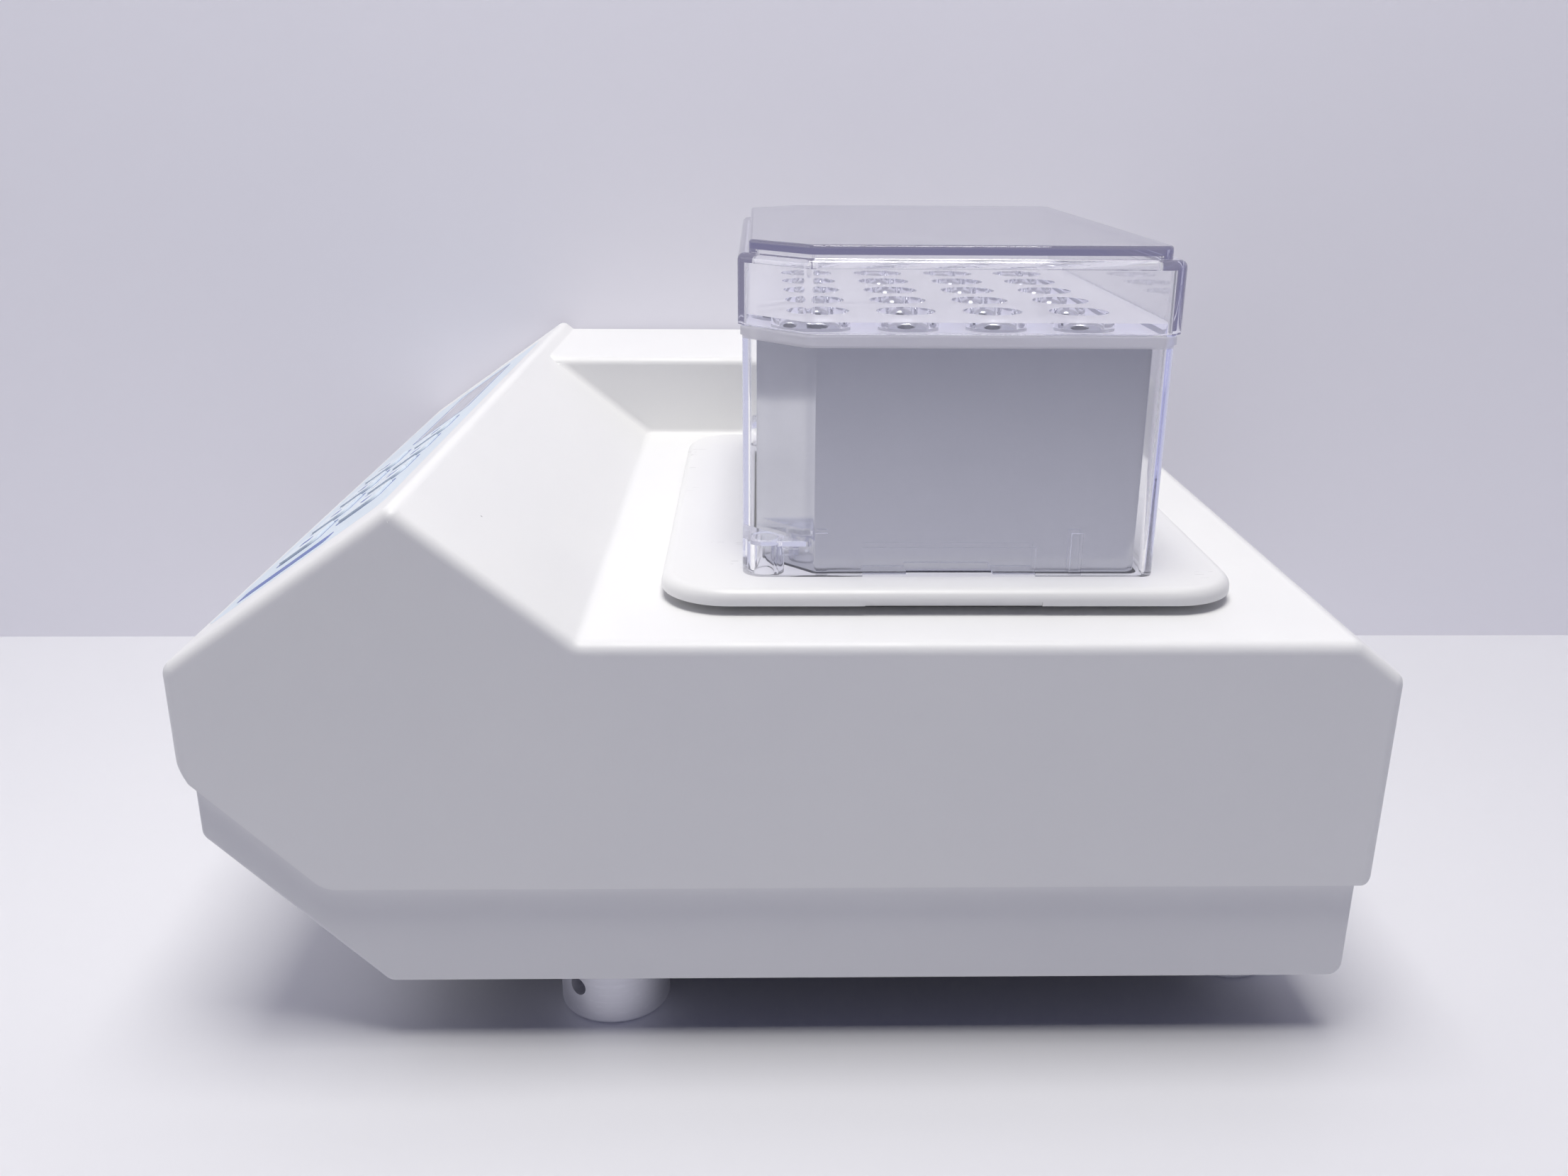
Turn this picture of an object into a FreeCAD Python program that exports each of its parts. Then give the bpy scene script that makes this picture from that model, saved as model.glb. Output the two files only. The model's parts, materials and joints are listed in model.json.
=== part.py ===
import FreeCAD, Part
import math
import os

# Dry block heater with an orbital mixing platform, in millimetres.
# Origin on the table under the middle of the casing: X to the user's right, Y to the rear, Z up.

# Tubes and block
TUBE_PITCH = 18.0
TUBE_COLUMNS = 6
TUBE_ROWS = 4
WELL_R = 5.5
WELL_DEPTH = 38.0
WELL_TIP_DEPTH = 7.0
WELL_TIP_R = 2.0
BLOCK_EDGE_X = 15.0
BLOCK_EDGE_Y = 12.4
BLOCK_HEIGHT = 50.5
BLOCK_CHAMFER = 11.5
BLOCK_CORNER_R = 2.0
BLOCK_CLIP_R = 1.0
WELL_RIM = 0.6

# Clear rack
RACK_GAP = 1.7
RACK_WALL = 1.8
RACK_CHAMFER = 13.0
RACK_CORNER_R = 3.0
RACK_CLIP_R = 2.0
RIM_EDGE_R = 0.9
RACK_TOP_GAP = 3.0
HOLE_PLATE_T = 2.0
HOLE_PLATE_SINK = 1.0
HOLE_R = 6.2
RIM_HEIGHT = 2.2
RIM_PROUD = 0.4
SKIRT_HEIGHT = 7.6
SKIRT_CORNER_R = 4.5
LEDGE_T = 1.4
POST_R = 3.8
POST_BORE_R = 2.6
POST_INSET = 4.9
POST_FIN_LENGTH = 4.0
POST_FIN_HEIGHT = 1.4
POST_FIN_T = 0.8
GUIDE_RIB_W = 2.4
GUIDE_RIB_H = 9.0
GUIDE_RIB_T = 0.5
GUIDE_RIB_SPAN = 53.0
SLOT_LENGTH = 18.0
SLOT_HEIGHT = 1.4
GRIP_LENGTH = 36.0
GRIP_HEIGHT = 6.0
GRIP_DEPTH = 0.3
GRIP_RELIEF = 0.6

# Clear lid
LID_PROUD = 0.5
LID_WALL = 2.0
LID_HEIGHT = 14.2
LID_STEP = 2.3
PANEL_RAISE = 2.5
LID_EDGE_R = 1.5
PANEL_EDGE_R = 0.7
LID_SPIGOT_GAP = 0.3

# Platform stack, from the deck up and down
PLATE_GAP = 2.1
PLATE_T = 3.3
PLATE_MARGIN_X = 8.8
PLATE_MARGIN_Y = 17.1
PLATE_CORNER_R = 14.5
PLATE_EDGE_R = 2.4
PLATE_BLOCK_GAP = 0.6
PLATE_GRIP_DEPTH = 0.4
HEATER_T = 7.0
HEATER_INSET = 2.8
MAT_T = 1.5
MAT_INSET = 1.5
INSULATION_T = 7.0
FRAME_WALL = 5.0
FRAME_GAP = 0.4
CARRIAGE_T = 8.0
STANDOFF_R = 3.5
STANDOFF_INSET = 7.0
STANDOFF_GAP = 0.4
ORBIT_R = 1.5
DECK_HOLE_GAP = 2.5
DECK_HOLE_R = 6.0
SENSOR_R = 1.5
SENSOR_LENGTH = 24.0
SENSOR_GAP = 0.05
CUTOUT_R = 5.0
CUTOUT_T = 5.0
CUTOUT_OFFSET_X = 20.0
CUTOUT_GAP = 0.4
BLOCK_SCREW_R = 2.5
BLOCK_SCREW_HEAD_R = 4.25
BLOCK_SCREW_HEAD_H = 5.0
BLOCK_SCREW_SINK = 7.0
BLOCK_SCREW_REACH = 5.0
BLOCK_SCREW_HEX = 4.0
BLOCK_SCREW_HEX_DEPTH = 2.6
SCREW_GAP = 0.1

# Orbital drive
RUN_GAP = 0.05
FACE_GAP = 0.3
CRANK_GAP = 1.0
CRANK_WEB_T = 8.0
CRANK_WEB_R = 13.0
CRANK_HUB_R = 8.0
CRANK_HUB_H = 6.0
CRANK_PIN_R = 4.0
COUNTERWEIGHT_R = 23.0
COUNTERWEIGHT_DEPTH = 3.0
DRIVE_BEARING_R = 11.0
DRIVE_BEARING_T = 7.0
IDLER_X = 36.0
IDLER_Y = 25.0
IDLER_WEB_R = 8.5
IDLER_JOURNAL_R = 4.0
IDLER_BEARING_R = 8.0
IDLER_BEARING_T = 5.0
BUSH_R = 7.0
BUSH_FLANGE_R = 9.5
BUSH_FLANGE_T = 2.5
BUSH_RISE = 8.0
BUSH_DROP = 4.0
CHASSIS_T = 3.0
CHASSIS_X = 120.0
CHASSIS_Y = 96.0
CHASSIS_CORNER_R = 8.0
CHASSIS_POST_INSET = 8.0
CHASSIS_POST_R = 5.0
MOTOR_SIDE = 42.0
MOTOR_HEIGHT = 26.0
MOTOR_CORNER = 4.0
MOTOR_END_CAP = 6.0
MOTOR_WAIST = 0.8
MOTOR_PILOT_R = 11.0
MOTOR_PILOT_H = 2.0
MOTOR_SCREW_PITCH = 31.0
MOTOR_SHAFT_R = 3.0
MOTOR_SHAFT_IN = 14.0
M3_R = 1.5
M3_HEAD_R = 2.75
M3_HEAD_H = 2.4
M3_REACH = 6.0

# Casing
COVER_WALL = 2.2
WING_WIDTH = 61.6
PLATE_LEFT_MARGIN = 21.0
PLATE_RIGHT_MARGIN = 15.4
PLATE_FRONT_MARGIN = 14.4
PLATE_REAR_MARGIN = 27.4
FRONT_SLOPE_RUN = 46.6
RIDGE_FALL_RUN = 33.6
DECK_Z = 93.0
RIDGE_RISE = 27.2
WING_RISE = 24.5
FRONT_TOP_DROP = 5.2
REAR_DROP = 7.9
REAR_RUN = 10.3
WING_REAR_DROP = 7.5
WING_REAR_RUN = 9.0
SPLIT_Z = 39.3
VISOR_RUN = 26.6
EDGE_R = 2.5
PROFILE_R = 3.0
VISOR_R = 6.0
VISOR_NICK = 2.5
RIDGE_R = 2.5
CREASE_R = 1.0
COVE_R = 2.0
TRAY_WALL = 2.5
TRAY_RECESS = 2.5
TRAY_LIP = 6.0
TRAY_BEVEL_RUN = 34.8
TRAY_EDGE_R = 0.8
CASE_POST_R = 4.5
CASE_POST_INSET = 11.0
CASE_POST_FRONT = 48.0
CASE_SCREW_R = 1.75
CASE_SCREW_HEAD_R = 3.5
CASE_SCREW_HEAD_H = 2.5
CASE_SCREW_SINK = 2.0
CASE_SCREW_BITE = 12.0
CASE_SCREW_HEX = 3.0
CASE_SCREW_HEX_DEPTH = 1.6
VENT_COUNT = 7
VENT_PITCH = 7.0
VENT_WIDTH = 3.0
VENT_LENGTH = 44.0
VENT_X = 0.0
VENT_Y = -52.0

# Levelling feet
FOOT_HEIGHT = 15.6
FOOT_R = 12.1
FOOT_EDGE_R = 0.8
FOOT_FRONT_INSET_X = 20.5
FOOT_REAR_INSET_X = 35.5
FOOT_FRONT_INSET_Y = 82.7
FOOT_REAR_INSET_Y = 17.0
FOOT_GAP = 0.3
FOOT_FLOOR = 3.0
STUD_R = 4.0
STUD_BITE = 20.0
STUD_BOSS_R = 8.0
TOMMY_R = 2.1
TOMMY_DEPTH = 7.0
TOMMY_Z = 8.2
TOMMY_ANGLE = -37.0

# Control panel on the slope, placed from the panel's middle
FOIL_W = 208.0
FOIL_H = 46.4
FOIL_V = -2.0
FOIL_T = 0.5
FOIL_R = 4.0
FOIL_GAP = 0.1
DISPLAY_W = 70.0
DISPLAY_H = 19.0
DISPLAY_X = -54.0
DISPLAY_V = 1.0
DISPLAY_R = 1.5
DISPLAY_LAND = 2.0
DISPLAY_DEPTH = 4.6
DISPLAY_RIM = 4.0
KEY_W = 16.0
KEY_H = 11.0
KEY_R = 2.5
KEY_RISE = 0.5
KEY_SINK = 0.9
KEY_TRAVEL = 0.35
KEY_GAP = 0.3
KEY_COLUMNS = 4
KEY_FIRST_X = 2.0
KEY_PITCH_X = 23.0
KEY_PITCH_V = 17.0
KEY_V = -2.8
KEY_STEM_R = 2.0
KEY_STEM_GAP = 0.3
KEY_LAND_GAP = 0.15
BOARD_DEPTH = 7.5
BOARD_T = 1.6
BOARD_W = 208.0
BOARD_H = 40.0
BOARD_POST_R = 3.0
BOARD_POST_INSET = 5.0
SWITCH_SIDE = 6.0
SWITCH_T = 0.8
SWITCH_NUB_R = 1.5
SWITCH_NUB_H = 0.5

# Mains side, at the rear of the wing
POCKET_W = 40.0
POCKET_H = 56.0
POCKET_DEPTH = 4.0
POCKET_INSET = 35.3
POCKET_Z = 77.0
POCKET_R = 3.0
INLET_W = 30.0
INLET_H = 34.0
INLET_FLANGE_T = 2.2
INLET_FLANGE_R = 2.5
INLET_BODY_W = 26.6
INLET_BODY_H = 30.6
INLET_BODY_DEPTH = 22.0
INLET_DROP = 9.0
SOCKET_W = 24.2
SOCKET_H = 16.4
SOCKET_DEPTH = 16.0
SOCKET_CORNER = 4.2
SOCKET_DROP = 5.6
PIN_W = 2.0
PIN_H = 4.0
PIN_LENGTH = 14.0
PIN_SPREAD = 7.0
PIN_OFFSET = 2.0
FUSE_W = 22.0
FUSE_H = 7.0
FUSE_DEPTH = 18.0
FUSE_RISE = 9.6
FUSE_GRIP = 0.8
PANEL_CUT_GAP = 0.1
SWITCH_BEZEL_W = 23.0
SWITCH_BEZEL_H = 16.0
SWITCH_BEZEL_T = 2.0
SWITCH_BODY_W = 19.2
SWITCH_BODY_H = 12.8
SWITCH_BODY_DEPTH = 18.0
SWITCH_WALL = 1.2
SWITCH_RISE = 18.0
ROCKER_GAP = 0.4
ROCKER_TILT = 8.0
ROCKER_PROUD = 0.5
ROCKER_DISH = 1.2
ROCKER_DEPTH = 6.0
ROCKER_PIN_R = 1.2
ROCKER_PIN_LENGTH = 0.8
POWER_BOARD_W = 46.0
POWER_BOARD_L = 104.0
POWER_BOARD_INSET = 33.3
POWER_BOARD_Y = 34.0
POWER_BOARD_RISE = 6.0
POWER_POST_R = 3.0
POWER_POST_INSET = 5.0
TRANSFORMER_L = 30.0
TRANSFORMER_W = 26.0
TRANSFORMER_H = 22.0
TRANSFORMER_FLANGE = 3.0
CAPACITOR_R = 6.0
CAPACITOR_H = 24.0
CAPACITOR_PITCH = 15.0


def inner_chamfer(chamfer, wall):
    """Clip of an outline that lies one wall inside another."""
    return chamfer - wall * (2 - math.sqrt(2))


# Plan sizes worked out from the tubes outwards
block_x = (TUBE_COLUMNS - 1) * TUBE_PITCH / 2 + BLOCK_EDGE_X
block_y = (TUBE_ROWS - 1) * TUBE_PITCH / 2 + BLOCK_EDGE_Y
rack_x = block_x + RACK_GAP + RACK_WALL
rack_y = block_y + RACK_GAP + RACK_WALL
plate_x = rack_x + PLATE_MARGIN_X
plate_y = rack_y + PLATE_MARGIN_Y
case_w = WING_WIDTH + PLATE_LEFT_MARGIN + 2 * plate_x + PLATE_RIGHT_MARGIN
case_d = FRONT_SLOPE_RUN + RIDGE_FALL_RUN + PLATE_FRONT_MARGIN + 2 * plate_y + PLATE_REAR_MARGIN
side = case_w / 2
back = case_d / 2
wing_x = -side + WING_WIDTH
pocket_x = -side + POCKET_INSET
board_x = -side + POWER_BOARD_INSET
ridge_y = -back + FRONT_SLOPE_RUN
deck_y = ridge_y + RIDGE_FALL_RUN
centre_x = side - PLATE_RIGHT_MARGIN - plate_x
centre_y = back - PLATE_REAR_MARGIN - plate_y

# Heights worked out from the deck
plate_z = DECK_Z + PLATE_GAP
plate_top = plate_z + PLATE_T
heater_z = plate_z - HEATER_T
mat_z = heater_z - MAT_T
insulation_z = mat_z - INSULATION_T
carriage_z = insulation_z - CARRIAGE_T
web_top = carriage_z - CRANK_GAP
web_z = web_top - CRANK_WEB_T
bush_top = web_z - FACE_GAP
chassis_top = bush_top - BUSH_RISE
chassis_z = chassis_top - CHASSIS_T
block_top = plate_z + BLOCK_HEIGHT
hole_plate_z = block_top + RACK_TOP_GAP
hole_plate_top = hole_plate_z + HOLE_PLATE_T
shoulder_z = hole_plate_z + LID_HEIGHT
panel_z = shoulder_z + PANEL_RAISE
ridge_z = DECK_Z + RIDGE_RISE
wing_z = DECK_Z + WING_RISE
front_z = DECK_Z - FRONT_TOP_DROP
floor_z = FOOT_HEIGHT + TRAY_WALL
tray_side = side - TRAY_RECESS
tray_back = back - TRAY_RECESS
lip_z = SPLIT_Z + TRAY_LIP

# The frame round the heater carries the plate and runs in the deck hole
frame_x = block_x - HEATER_INSET + FRAME_GAP + FRAME_WALL
frame_y = block_y - HEATER_INSET + FRAME_GAP + FRAME_WALL
hole_x = frame_x + ORBIT_R + DECK_HOLE_GAP
hole_y = frame_y + ORBIT_R + DECK_HOLE_GAP

# The slope's own frame: across, up the slope and out of it
slope_angle = math.degrees(math.atan2(ridge_z - front_z, FRONT_SLOPE_RUN))
slope_middle = FreeCAD.Vector(0, -back + FRONT_SLOPE_RUN / 2, (ridge_z + front_z) / 2)

X_AXIS = FreeCAD.Vector(1, 0, 0)
Y_AXIS = FreeCAD.Vector(0, 1, 0)
Z_AXIS = FreeCAD.Vector(0, 0, 1)
ORIGIN = FreeCAD.Vector(0, 0, 0)


# Shape helpers
def block(x0, x1, y0, y1, z0, z1):
    """Box between two corners."""
    return Part.makeBox(x1 - x0, y1 - y0, z1 - z0, FreeCAD.Vector(x0, y0, z0))


def disc(x, y, z0, z1, r):
    """Upright cylinder."""
    return Part.makeCylinder(r, z1 - z0, FreeCAD.Vector(x, y, z0))


def ring(x, y, z0, z1, r_out, r_in):
    """Upright tube."""
    return disc(x, y, z0, z1, r_out).cut(disc(x, y, z0, z1, r_in))


def outline(points, place):
    """Closed wire through (a, b, radius) corners, each rounded by its own radius."""
    starts = []
    middles = []
    ends = []
    for index, (a, b, r) in enumerate(points):
        corner = FreeCAD.Vector(a, b, 0)
        before = points[index - 1]
        after = points[(index + 1) % len(points)]
        back_way = (FreeCAD.Vector(before[0], before[1], 0) - corner).normalize()
        on_way = (FreeCAD.Vector(after[0], after[1], 0) - corner).normalize()
        half = math.acos(back_way.dot(on_way)) / 2
        middle_way = (back_way + on_way).normalize()
        starts.append(corner + back_way * (r / math.tan(half)))
        ends.append(corner + on_way * (r / math.tan(half)))
        middles.append(corner + middle_way * (r / math.sin(half) - r))
    edges = []
    for index in range(len(points)):
        following = (index + 1) % len(points)
        if points[index][2] > 0:
            arc = Part.Arc(place(starts[index]), place(middles[index]), place(ends[index]))
            edges.append(arc.toShape())
        edges.append(Part.LineSegment(place(ends[index]), place(starts[following])).toShape())
    return Part.Wire(edges)


def flat(point):
    """Put an outline point in the XY plane."""
    return FreeCAD.Vector(point.x, point.y, 0)


def upright(point):
    """Put an outline point in the YZ plane."""
    return FreeCAD.Vector(0, point.x, point.y)


def facing(point):
    """Put an outline point in the XZ plane."""
    return FreeCAD.Vector(point.x, 0, point.y)


def prism_x(points, x0, x1):
    """Side profile of (y, z, radius) corners drawn out across the casing."""
    solid = Part.Face(outline(points, upright)).extrude(X_AXIS * (x1 - x0))
    solid.translate(X_AXIS * x0)
    return solid


def prism_y(points, y0, y1):
    """Front outline of (x, z, radius) corners drawn out to the rear."""
    solid = Part.Face(outline(points, facing)).extrude(Y_AXIS * (y1 - y0))
    solid.translate(Y_AXIS * y0)
    return solid


def prism_z(points, z0, z1):
    """Plan outline of (x, y, radius) corners drawn upwards."""
    solid = Part.Face(outline(points, flat)).extrude(Z_AXIS * (z1 - z0))
    solid.translate(Z_AXIS * z0)
    return solid


def rectangle(x, y, half_x, half_y, r):
    """Four rounded corners about a centre."""
    return [(x - half_x, y - half_y, r), (x + half_x, y - half_y, r),
            (x + half_x, y + half_y, r), (x - half_x, y + half_y, r)]


def clipped(half_x, half_y, chamfer, r, clip_r):
    """Plan of the block, rack and lid: two clipped front corners, two rounded rear ones."""
    x, y = centre_x, centre_y
    return [(x - half_x + chamfer, y - half_y, clip_r), (x + half_x - chamfer, y - half_y, clip_r),
            (x + half_x, y - half_y + chamfer, clip_r), (x + half_x, y + half_y, r),
            (x - half_x, y + half_y, r), (x - half_x, y - half_y + chamfer, clip_r)]


def inset(points, walls):
    """Corners of a profile whose edges move inwards, each by its own wall."""
    lines = []
    for index, (a, b, r) in enumerate(points):
        after = points[(index + 1) % len(points)]
        way = FreeCAD.Vector(after[0] - a, after[1] - b, 0).normalize()
        inward = FreeCAD.Vector(-way.y, way.x, 0)
        lines.append((FreeCAD.Vector(a, b, 0) + inward * walls[index], way))
    moved = []
    for index in range(len(points)):
        start, way = lines[index - 1]
        other, other_way = lines[index]
        turn = way.x * other_way.y - way.y * other_way.x
        gap = other - start
        reach = (gap.x * other_way.y - gap.y * other_way.x) / turn
        corner = start + way * reach
        moved.append((corner.x, corner.y, 0))
    return moved


def edges_at_x(solid, x):
    """Edges of an end face that lies across X."""
    return [edge for edge in solid.Edges
            if abs(edge.BoundBox.XMin - x) < 1e-4 and abs(edge.BoundBox.XMax - x) < 1e-4]


def shell_edges(solid, x):
    """Edges of an end face that are not on the open underside."""
    chosen = []
    for edge in edges_at_x(solid, x):
        middle = edge.valueAt((edge.FirstParameter + edge.LastParameter) / 2)
        above_visor = middle.y + middle.z > -back + VISOR_RUN + SPLIT_Z + 1
        if middle.z > SPLIT_Z + 1 and above_visor:
            chosen.append(edge)
    return chosen


def tray_edges(solid, x):
    """Edges of the tray's end face that are not on its lip."""
    return [edge for edge in edges_at_x(solid, x)
            if edge.BoundBox.ZMin < lip_z - 1 or edge.BoundBox.YMax < -tray_back + 1]


def edges_at_z(solid, z):
    """Edges that lie in one level plane."""
    return [edge for edge in solid.Edges
            if abs(edge.BoundBox.ZMin - z) < 1e-4 and abs(edge.BoundBox.ZMax - z) < 1e-4]


def on_slope(solid):
    """Carry a solid from the slope's own frame to the casing."""
    solid.rotate(ORIGIN, X_AXIS, slope_angle)
    solid.translate(slope_middle)
    return solid


def hexagon(x, y, z0, z1, across):
    """Upright hexagon prism across its flats."""
    r = across / math.sqrt(3)
    points = []
    for index in range(6):
        angle = math.radians(60 * index)
        points.append((x + r * math.cos(angle), y + r * math.sin(angle), 0))
    return prism_z(points, z0, z1)


def group(solids):
    """Separate solids that share one node."""
    return Part.makeCompound(solids)


def save(name, solid):
    """Write one piece."""
    solid.exportStep("parts/" + name + ".step")


# Places that repeat
def around_centre(half_x, half_y):
    """Four places about the platform's centre."""
    return [(centre_x + sx * half_x, centre_y + sy * half_y) for sy in (-1, 1) for sx in (-1, 1)]


def wells():
    """Centres of the tube wells."""
    places = []
    for column in range(TUBE_COLUMNS):
        for row in range(TUBE_ROWS):
            x = centre_x + (column - (TUBE_COLUMNS - 1) / 2) * TUBE_PITCH
            y = centre_y + (row - (TUBE_ROWS - 1) / 2) * TUBE_PITCH
            places.append((x, y))
    return places


def keys():
    """Centres of the keys in the slope's frame."""
    places = []
    for row in (0.5, -0.5):
        for column in range(KEY_COLUMNS):
            places.append((KEY_FIRST_X + column * KEY_PITCH_X, KEY_V + row * KEY_PITCH_V))
    return places


def board_posts():
    """Centres of the control board's posts in the slope's frame."""
    half_x = BOARD_W / 2 - BOARD_POST_INSET
    half_v = BOARD_H / 2 - BOARD_POST_INSET
    return [(sx * half_x, sv * half_v) for sx in (-1, 1) for sv in (-1, 1)]


def power_posts():
    """Centres of the power board's posts."""
    half_x = POWER_BOARD_W / 2 - POWER_POST_INSET
    half_y = POWER_BOARD_L / 2 - POWER_POST_INSET
    return [(board_x + sx * half_x, POWER_BOARD_Y + sy * half_y) for sx in (-1, 1) for sy in (-1, 1)]


feet = [(side - FOOT_FRONT_INSET_X, -back + FOOT_FRONT_INSET_Y),
        (-side + FOOT_FRONT_INSET_X, -back + FOOT_FRONT_INSET_Y),
        (side - FOOT_REAR_INSET_X, back - FOOT_REAR_INSET_Y),
        (-side + FOOT_REAR_INSET_X, back - FOOT_REAR_INSET_Y)]
idlers = around_centre(IDLER_X, IDLER_Y)
standoffs = around_centre(frame_x - FRAME_WALL - STANDOFF_INSET, frame_y - FRAME_WALL - STANDOFF_INSET)
chassis_posts = around_centre(CHASSIS_X / 2 - CHASSIS_POST_INSET, CHASSIS_Y / 2 - CHASSIS_POST_INSET)
motor_holes = around_centre(MOTOR_SCREW_PITCH / 2, MOTOR_SCREW_PITCH / 2)
block_screw_places = [(centre_x + sx * TUBE_PITCH, centre_y) for sx in (-1, 1)]
case_posts = [(sx * (side - CASE_POST_INSET), y) for sx in (-1, 1)
              for y in (-back + CASE_POST_FRONT, back - CASE_POST_INSET - REAR_RUN / 2)]


# Casing
def deck_profile():
    """Side profile of the cover through the deck."""
    return [(-back + VISOR_RUN, SPLIT_Z, VISOR_R), (back, SPLIT_Z, 0),
            (back, DECK_Z - REAR_DROP, PROFILE_R), (back - REAR_RUN, DECK_Z, PROFILE_R),
            (deck_y, DECK_Z, PROFILE_R), (ridge_y, ridge_z, RIDGE_R),
            (-back, front_z, PROFILE_R), (-back, SPLIT_Z + VISOR_RUN, 0)]


def wing_profile():
    """Side profile of the cover through the raised wing."""
    fall = (ridge_z - wing_z) * RIDGE_FALL_RUN / RIDGE_RISE
    return [(-back + VISOR_RUN, SPLIT_Z, VISOR_R), (back, SPLIT_Z, 0),
            (back, wing_z - WING_REAR_DROP, PROFILE_R), (back - WING_REAR_RUN, wing_z, PROFILE_R),
            (ridge_y + fall, wing_z, CREASE_R), (ridge_y, ridge_z, RIDGE_R),
            (-back, front_z, PROFILE_R), (-back, SPLIT_Z + VISOR_RUN, 0)]


def cover_walls():
    """Wall on each edge of the two cover profiles, with the open underside pushed away."""
    return [-TRAY_LIP] + [COVER_WALL] * 6 + [-TRAY_LIP]


def panel_pockets():
    """Foil recess, display cut-out, key pockets and stem holes in the slope."""
    recess = rectangle(0, FOIL_V, FOIL_W / 2 + FOIL_GAP, FOIL_H / 2 + FOIL_GAP, FOIL_R)
    cuts = [prism_z(recess, -FOIL_T, COVER_WALL)]
    half_x = DISPLAY_W / 2 - DISPLAY_LAND
    half_v = DISPLAY_H / 2 - DISPLAY_LAND
    cuts.append(prism_z(rectangle(DISPLAY_X, DISPLAY_V, half_x, half_v, DISPLAY_R), -2 * COVER_WALL, 0))
    for x, v in keys():
        pocket = rectangle(x, v, KEY_W / 2 + KEY_GAP, KEY_H / 2 + KEY_GAP, KEY_R)
        cuts.append(prism_z(pocket, -KEY_SINK - KEY_TRAVEL - KEY_LAND_GAP, 0))
        cuts.append(disc(x, v, -2 * COVER_WALL, 0, KEY_STEM_R + KEY_STEM_GAP))
    return [on_slope(cut) for cut in cuts]


def rear_pocket(depth, grow, y0):
    """Rounded block for the mains pocket in the rear wall."""
    half_w = POCKET_W / 2 + grow
    half_h = POCKET_H / 2 + grow
    points = rectangle(pocket_x, POCKET_Z, half_w, half_h, POCKET_R + grow)
    return prism_y(points, y0, y0 + depth)


def visor_nick():
    """Wedge that breaks the corner between the front face and the slanted lower edge."""
    z = SPLIT_Z + VISOR_RUN
    points = [(-back - 1, z - VISOR_NICK, 0), (-back + VISOR_NICK, z - VISOR_NICK, 0),
              (-back, z + VISOR_NICK, 0), (-back - 1, z + VISOR_NICK, 0)]
    return prism_x(points, -side, side)


def rear_round():
    """What the rounded lower rear edge takes off the cover."""
    middle = FreeCAD.Vector(-side, back - PROFILE_R, SPLIT_Z + PROFILE_R)
    corner = block(-side, side, middle.y, back + 1, SPLIT_Z - 1, middle.z)
    return corner.cut(Part.makeCylinder(PROFILE_R, 2 * side, middle, X_AXIS))


def cove():
    """Concave fillet along the foot of the wing's wall, swept over the deck's profile."""
    points = [(back, DECK_Z - REAR_DROP, 0), (back - REAR_RUN, DECK_Z, PROFILE_R),
              (deck_y, DECK_Z, PROFILE_R), (ridge_y, ridge_z, 0)]
    path = Part.Wire(outline(points, upright).OrderedEdges[:-1])
    path.translate(X_AXIS * wing_x)
    corner = FreeCAD.Vector(wing_x, back, DECK_Z - REAR_DROP)
    out = FreeCAD.Vector(0, REAR_DROP, REAR_RUN).normalize()
    sink = COVER_WALL / 2
    foot_end = corner + X_AXIS * COVE_R
    wall_end = corner + out * COVE_R
    middle = corner + (X_AXIS + out) * (COVE_R - COVE_R * math.sqrt(0.5))
    arc = Part.Arc(foot_end, middle, wall_end).toShape()
    back_way = [wall_end, wall_end - X_AXIS * sink, corner - (X_AXIS + out) * sink]
    back_way += [foot_end - out * sink, foot_end]
    section = Part.Wire([arc] + Part.makePolygon(back_way).Edges)
    swept = path.makePipeShell([section], True, False)
    limit = prism_x(inset(wing_profile(), [0] + [COVE_R] * 6 + [0]), wing_x - COVER_WALL, wing_x + COVE_R)
    return swept.common(limit)


def top_cover():
    """Moulded shell with slope, ridge, deck and wing."""
    wing = prism_x(wing_profile(), -side, wing_x)
    wing = wing.makeFillet(EDGE_R, shell_edges(wing, -side) + shell_edges(wing, wing_x))
    deck = prism_x(deck_profile(), -side + WING_WIDTH / 2, side)
    deck = deck.makeFillet(EDGE_R, shell_edges(deck, side))
    shell = wing.fuse([deck, cove()]).removeSplitter().cut([visor_nick(), rear_round()])
    hollow = prism_x(inset(deck_profile(), cover_walls()), -side + COVER_WALL, side - COVER_WALL)
    wing_hollow = prism_x(inset(wing_profile(), cover_walls()), -side + COVER_WALL, wing_x - COVER_WALL)
    inside = hollow.fuse(wing_hollow)
    posts = [disc(x, y, lip_z, ridge_z, CASE_POST_R) for x, y in case_posts]
    posts += [on_slope(disc(x, v, -BOARD_DEPTH, 0, BOARD_POST_R)) for x, v in board_posts()]
    pad = rear_pocket(POCKET_DEPTH, COVER_WALL, back - POCKET_DEPTH - COVER_WALL)
    shell = shell.cut(inside).fuse([solid.common(inside) for solid in posts + [pad]])
    cuts = panel_pockets() + mains_openings() + [rear_pocket(POCKET_DEPTH, 0, back - POCKET_DEPTH)]
    deck_hole = rectangle(centre_x, centre_y, hole_x, hole_y, DECK_HOLE_R)
    cuts.append(prism_z(deck_hole, DECK_Z - 2 * COVER_WALL, plate_z))
    for x, y in case_posts:
        cuts.append(disc(x, y, lip_z, lip_z + CASE_SCREW_BITE + SCREW_GAP, CASE_SCREW_R + SCREW_GAP))
    for x, v in board_posts():
        depth = M3_REACH / 2 + SCREW_GAP
        cuts.append(on_slope(disc(x, v, -BOARD_DEPTH, -BOARD_DEPTH + depth, M3_R + SCREW_GAP)))
    return shell.cut(cuts).removeSplitter()


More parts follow.
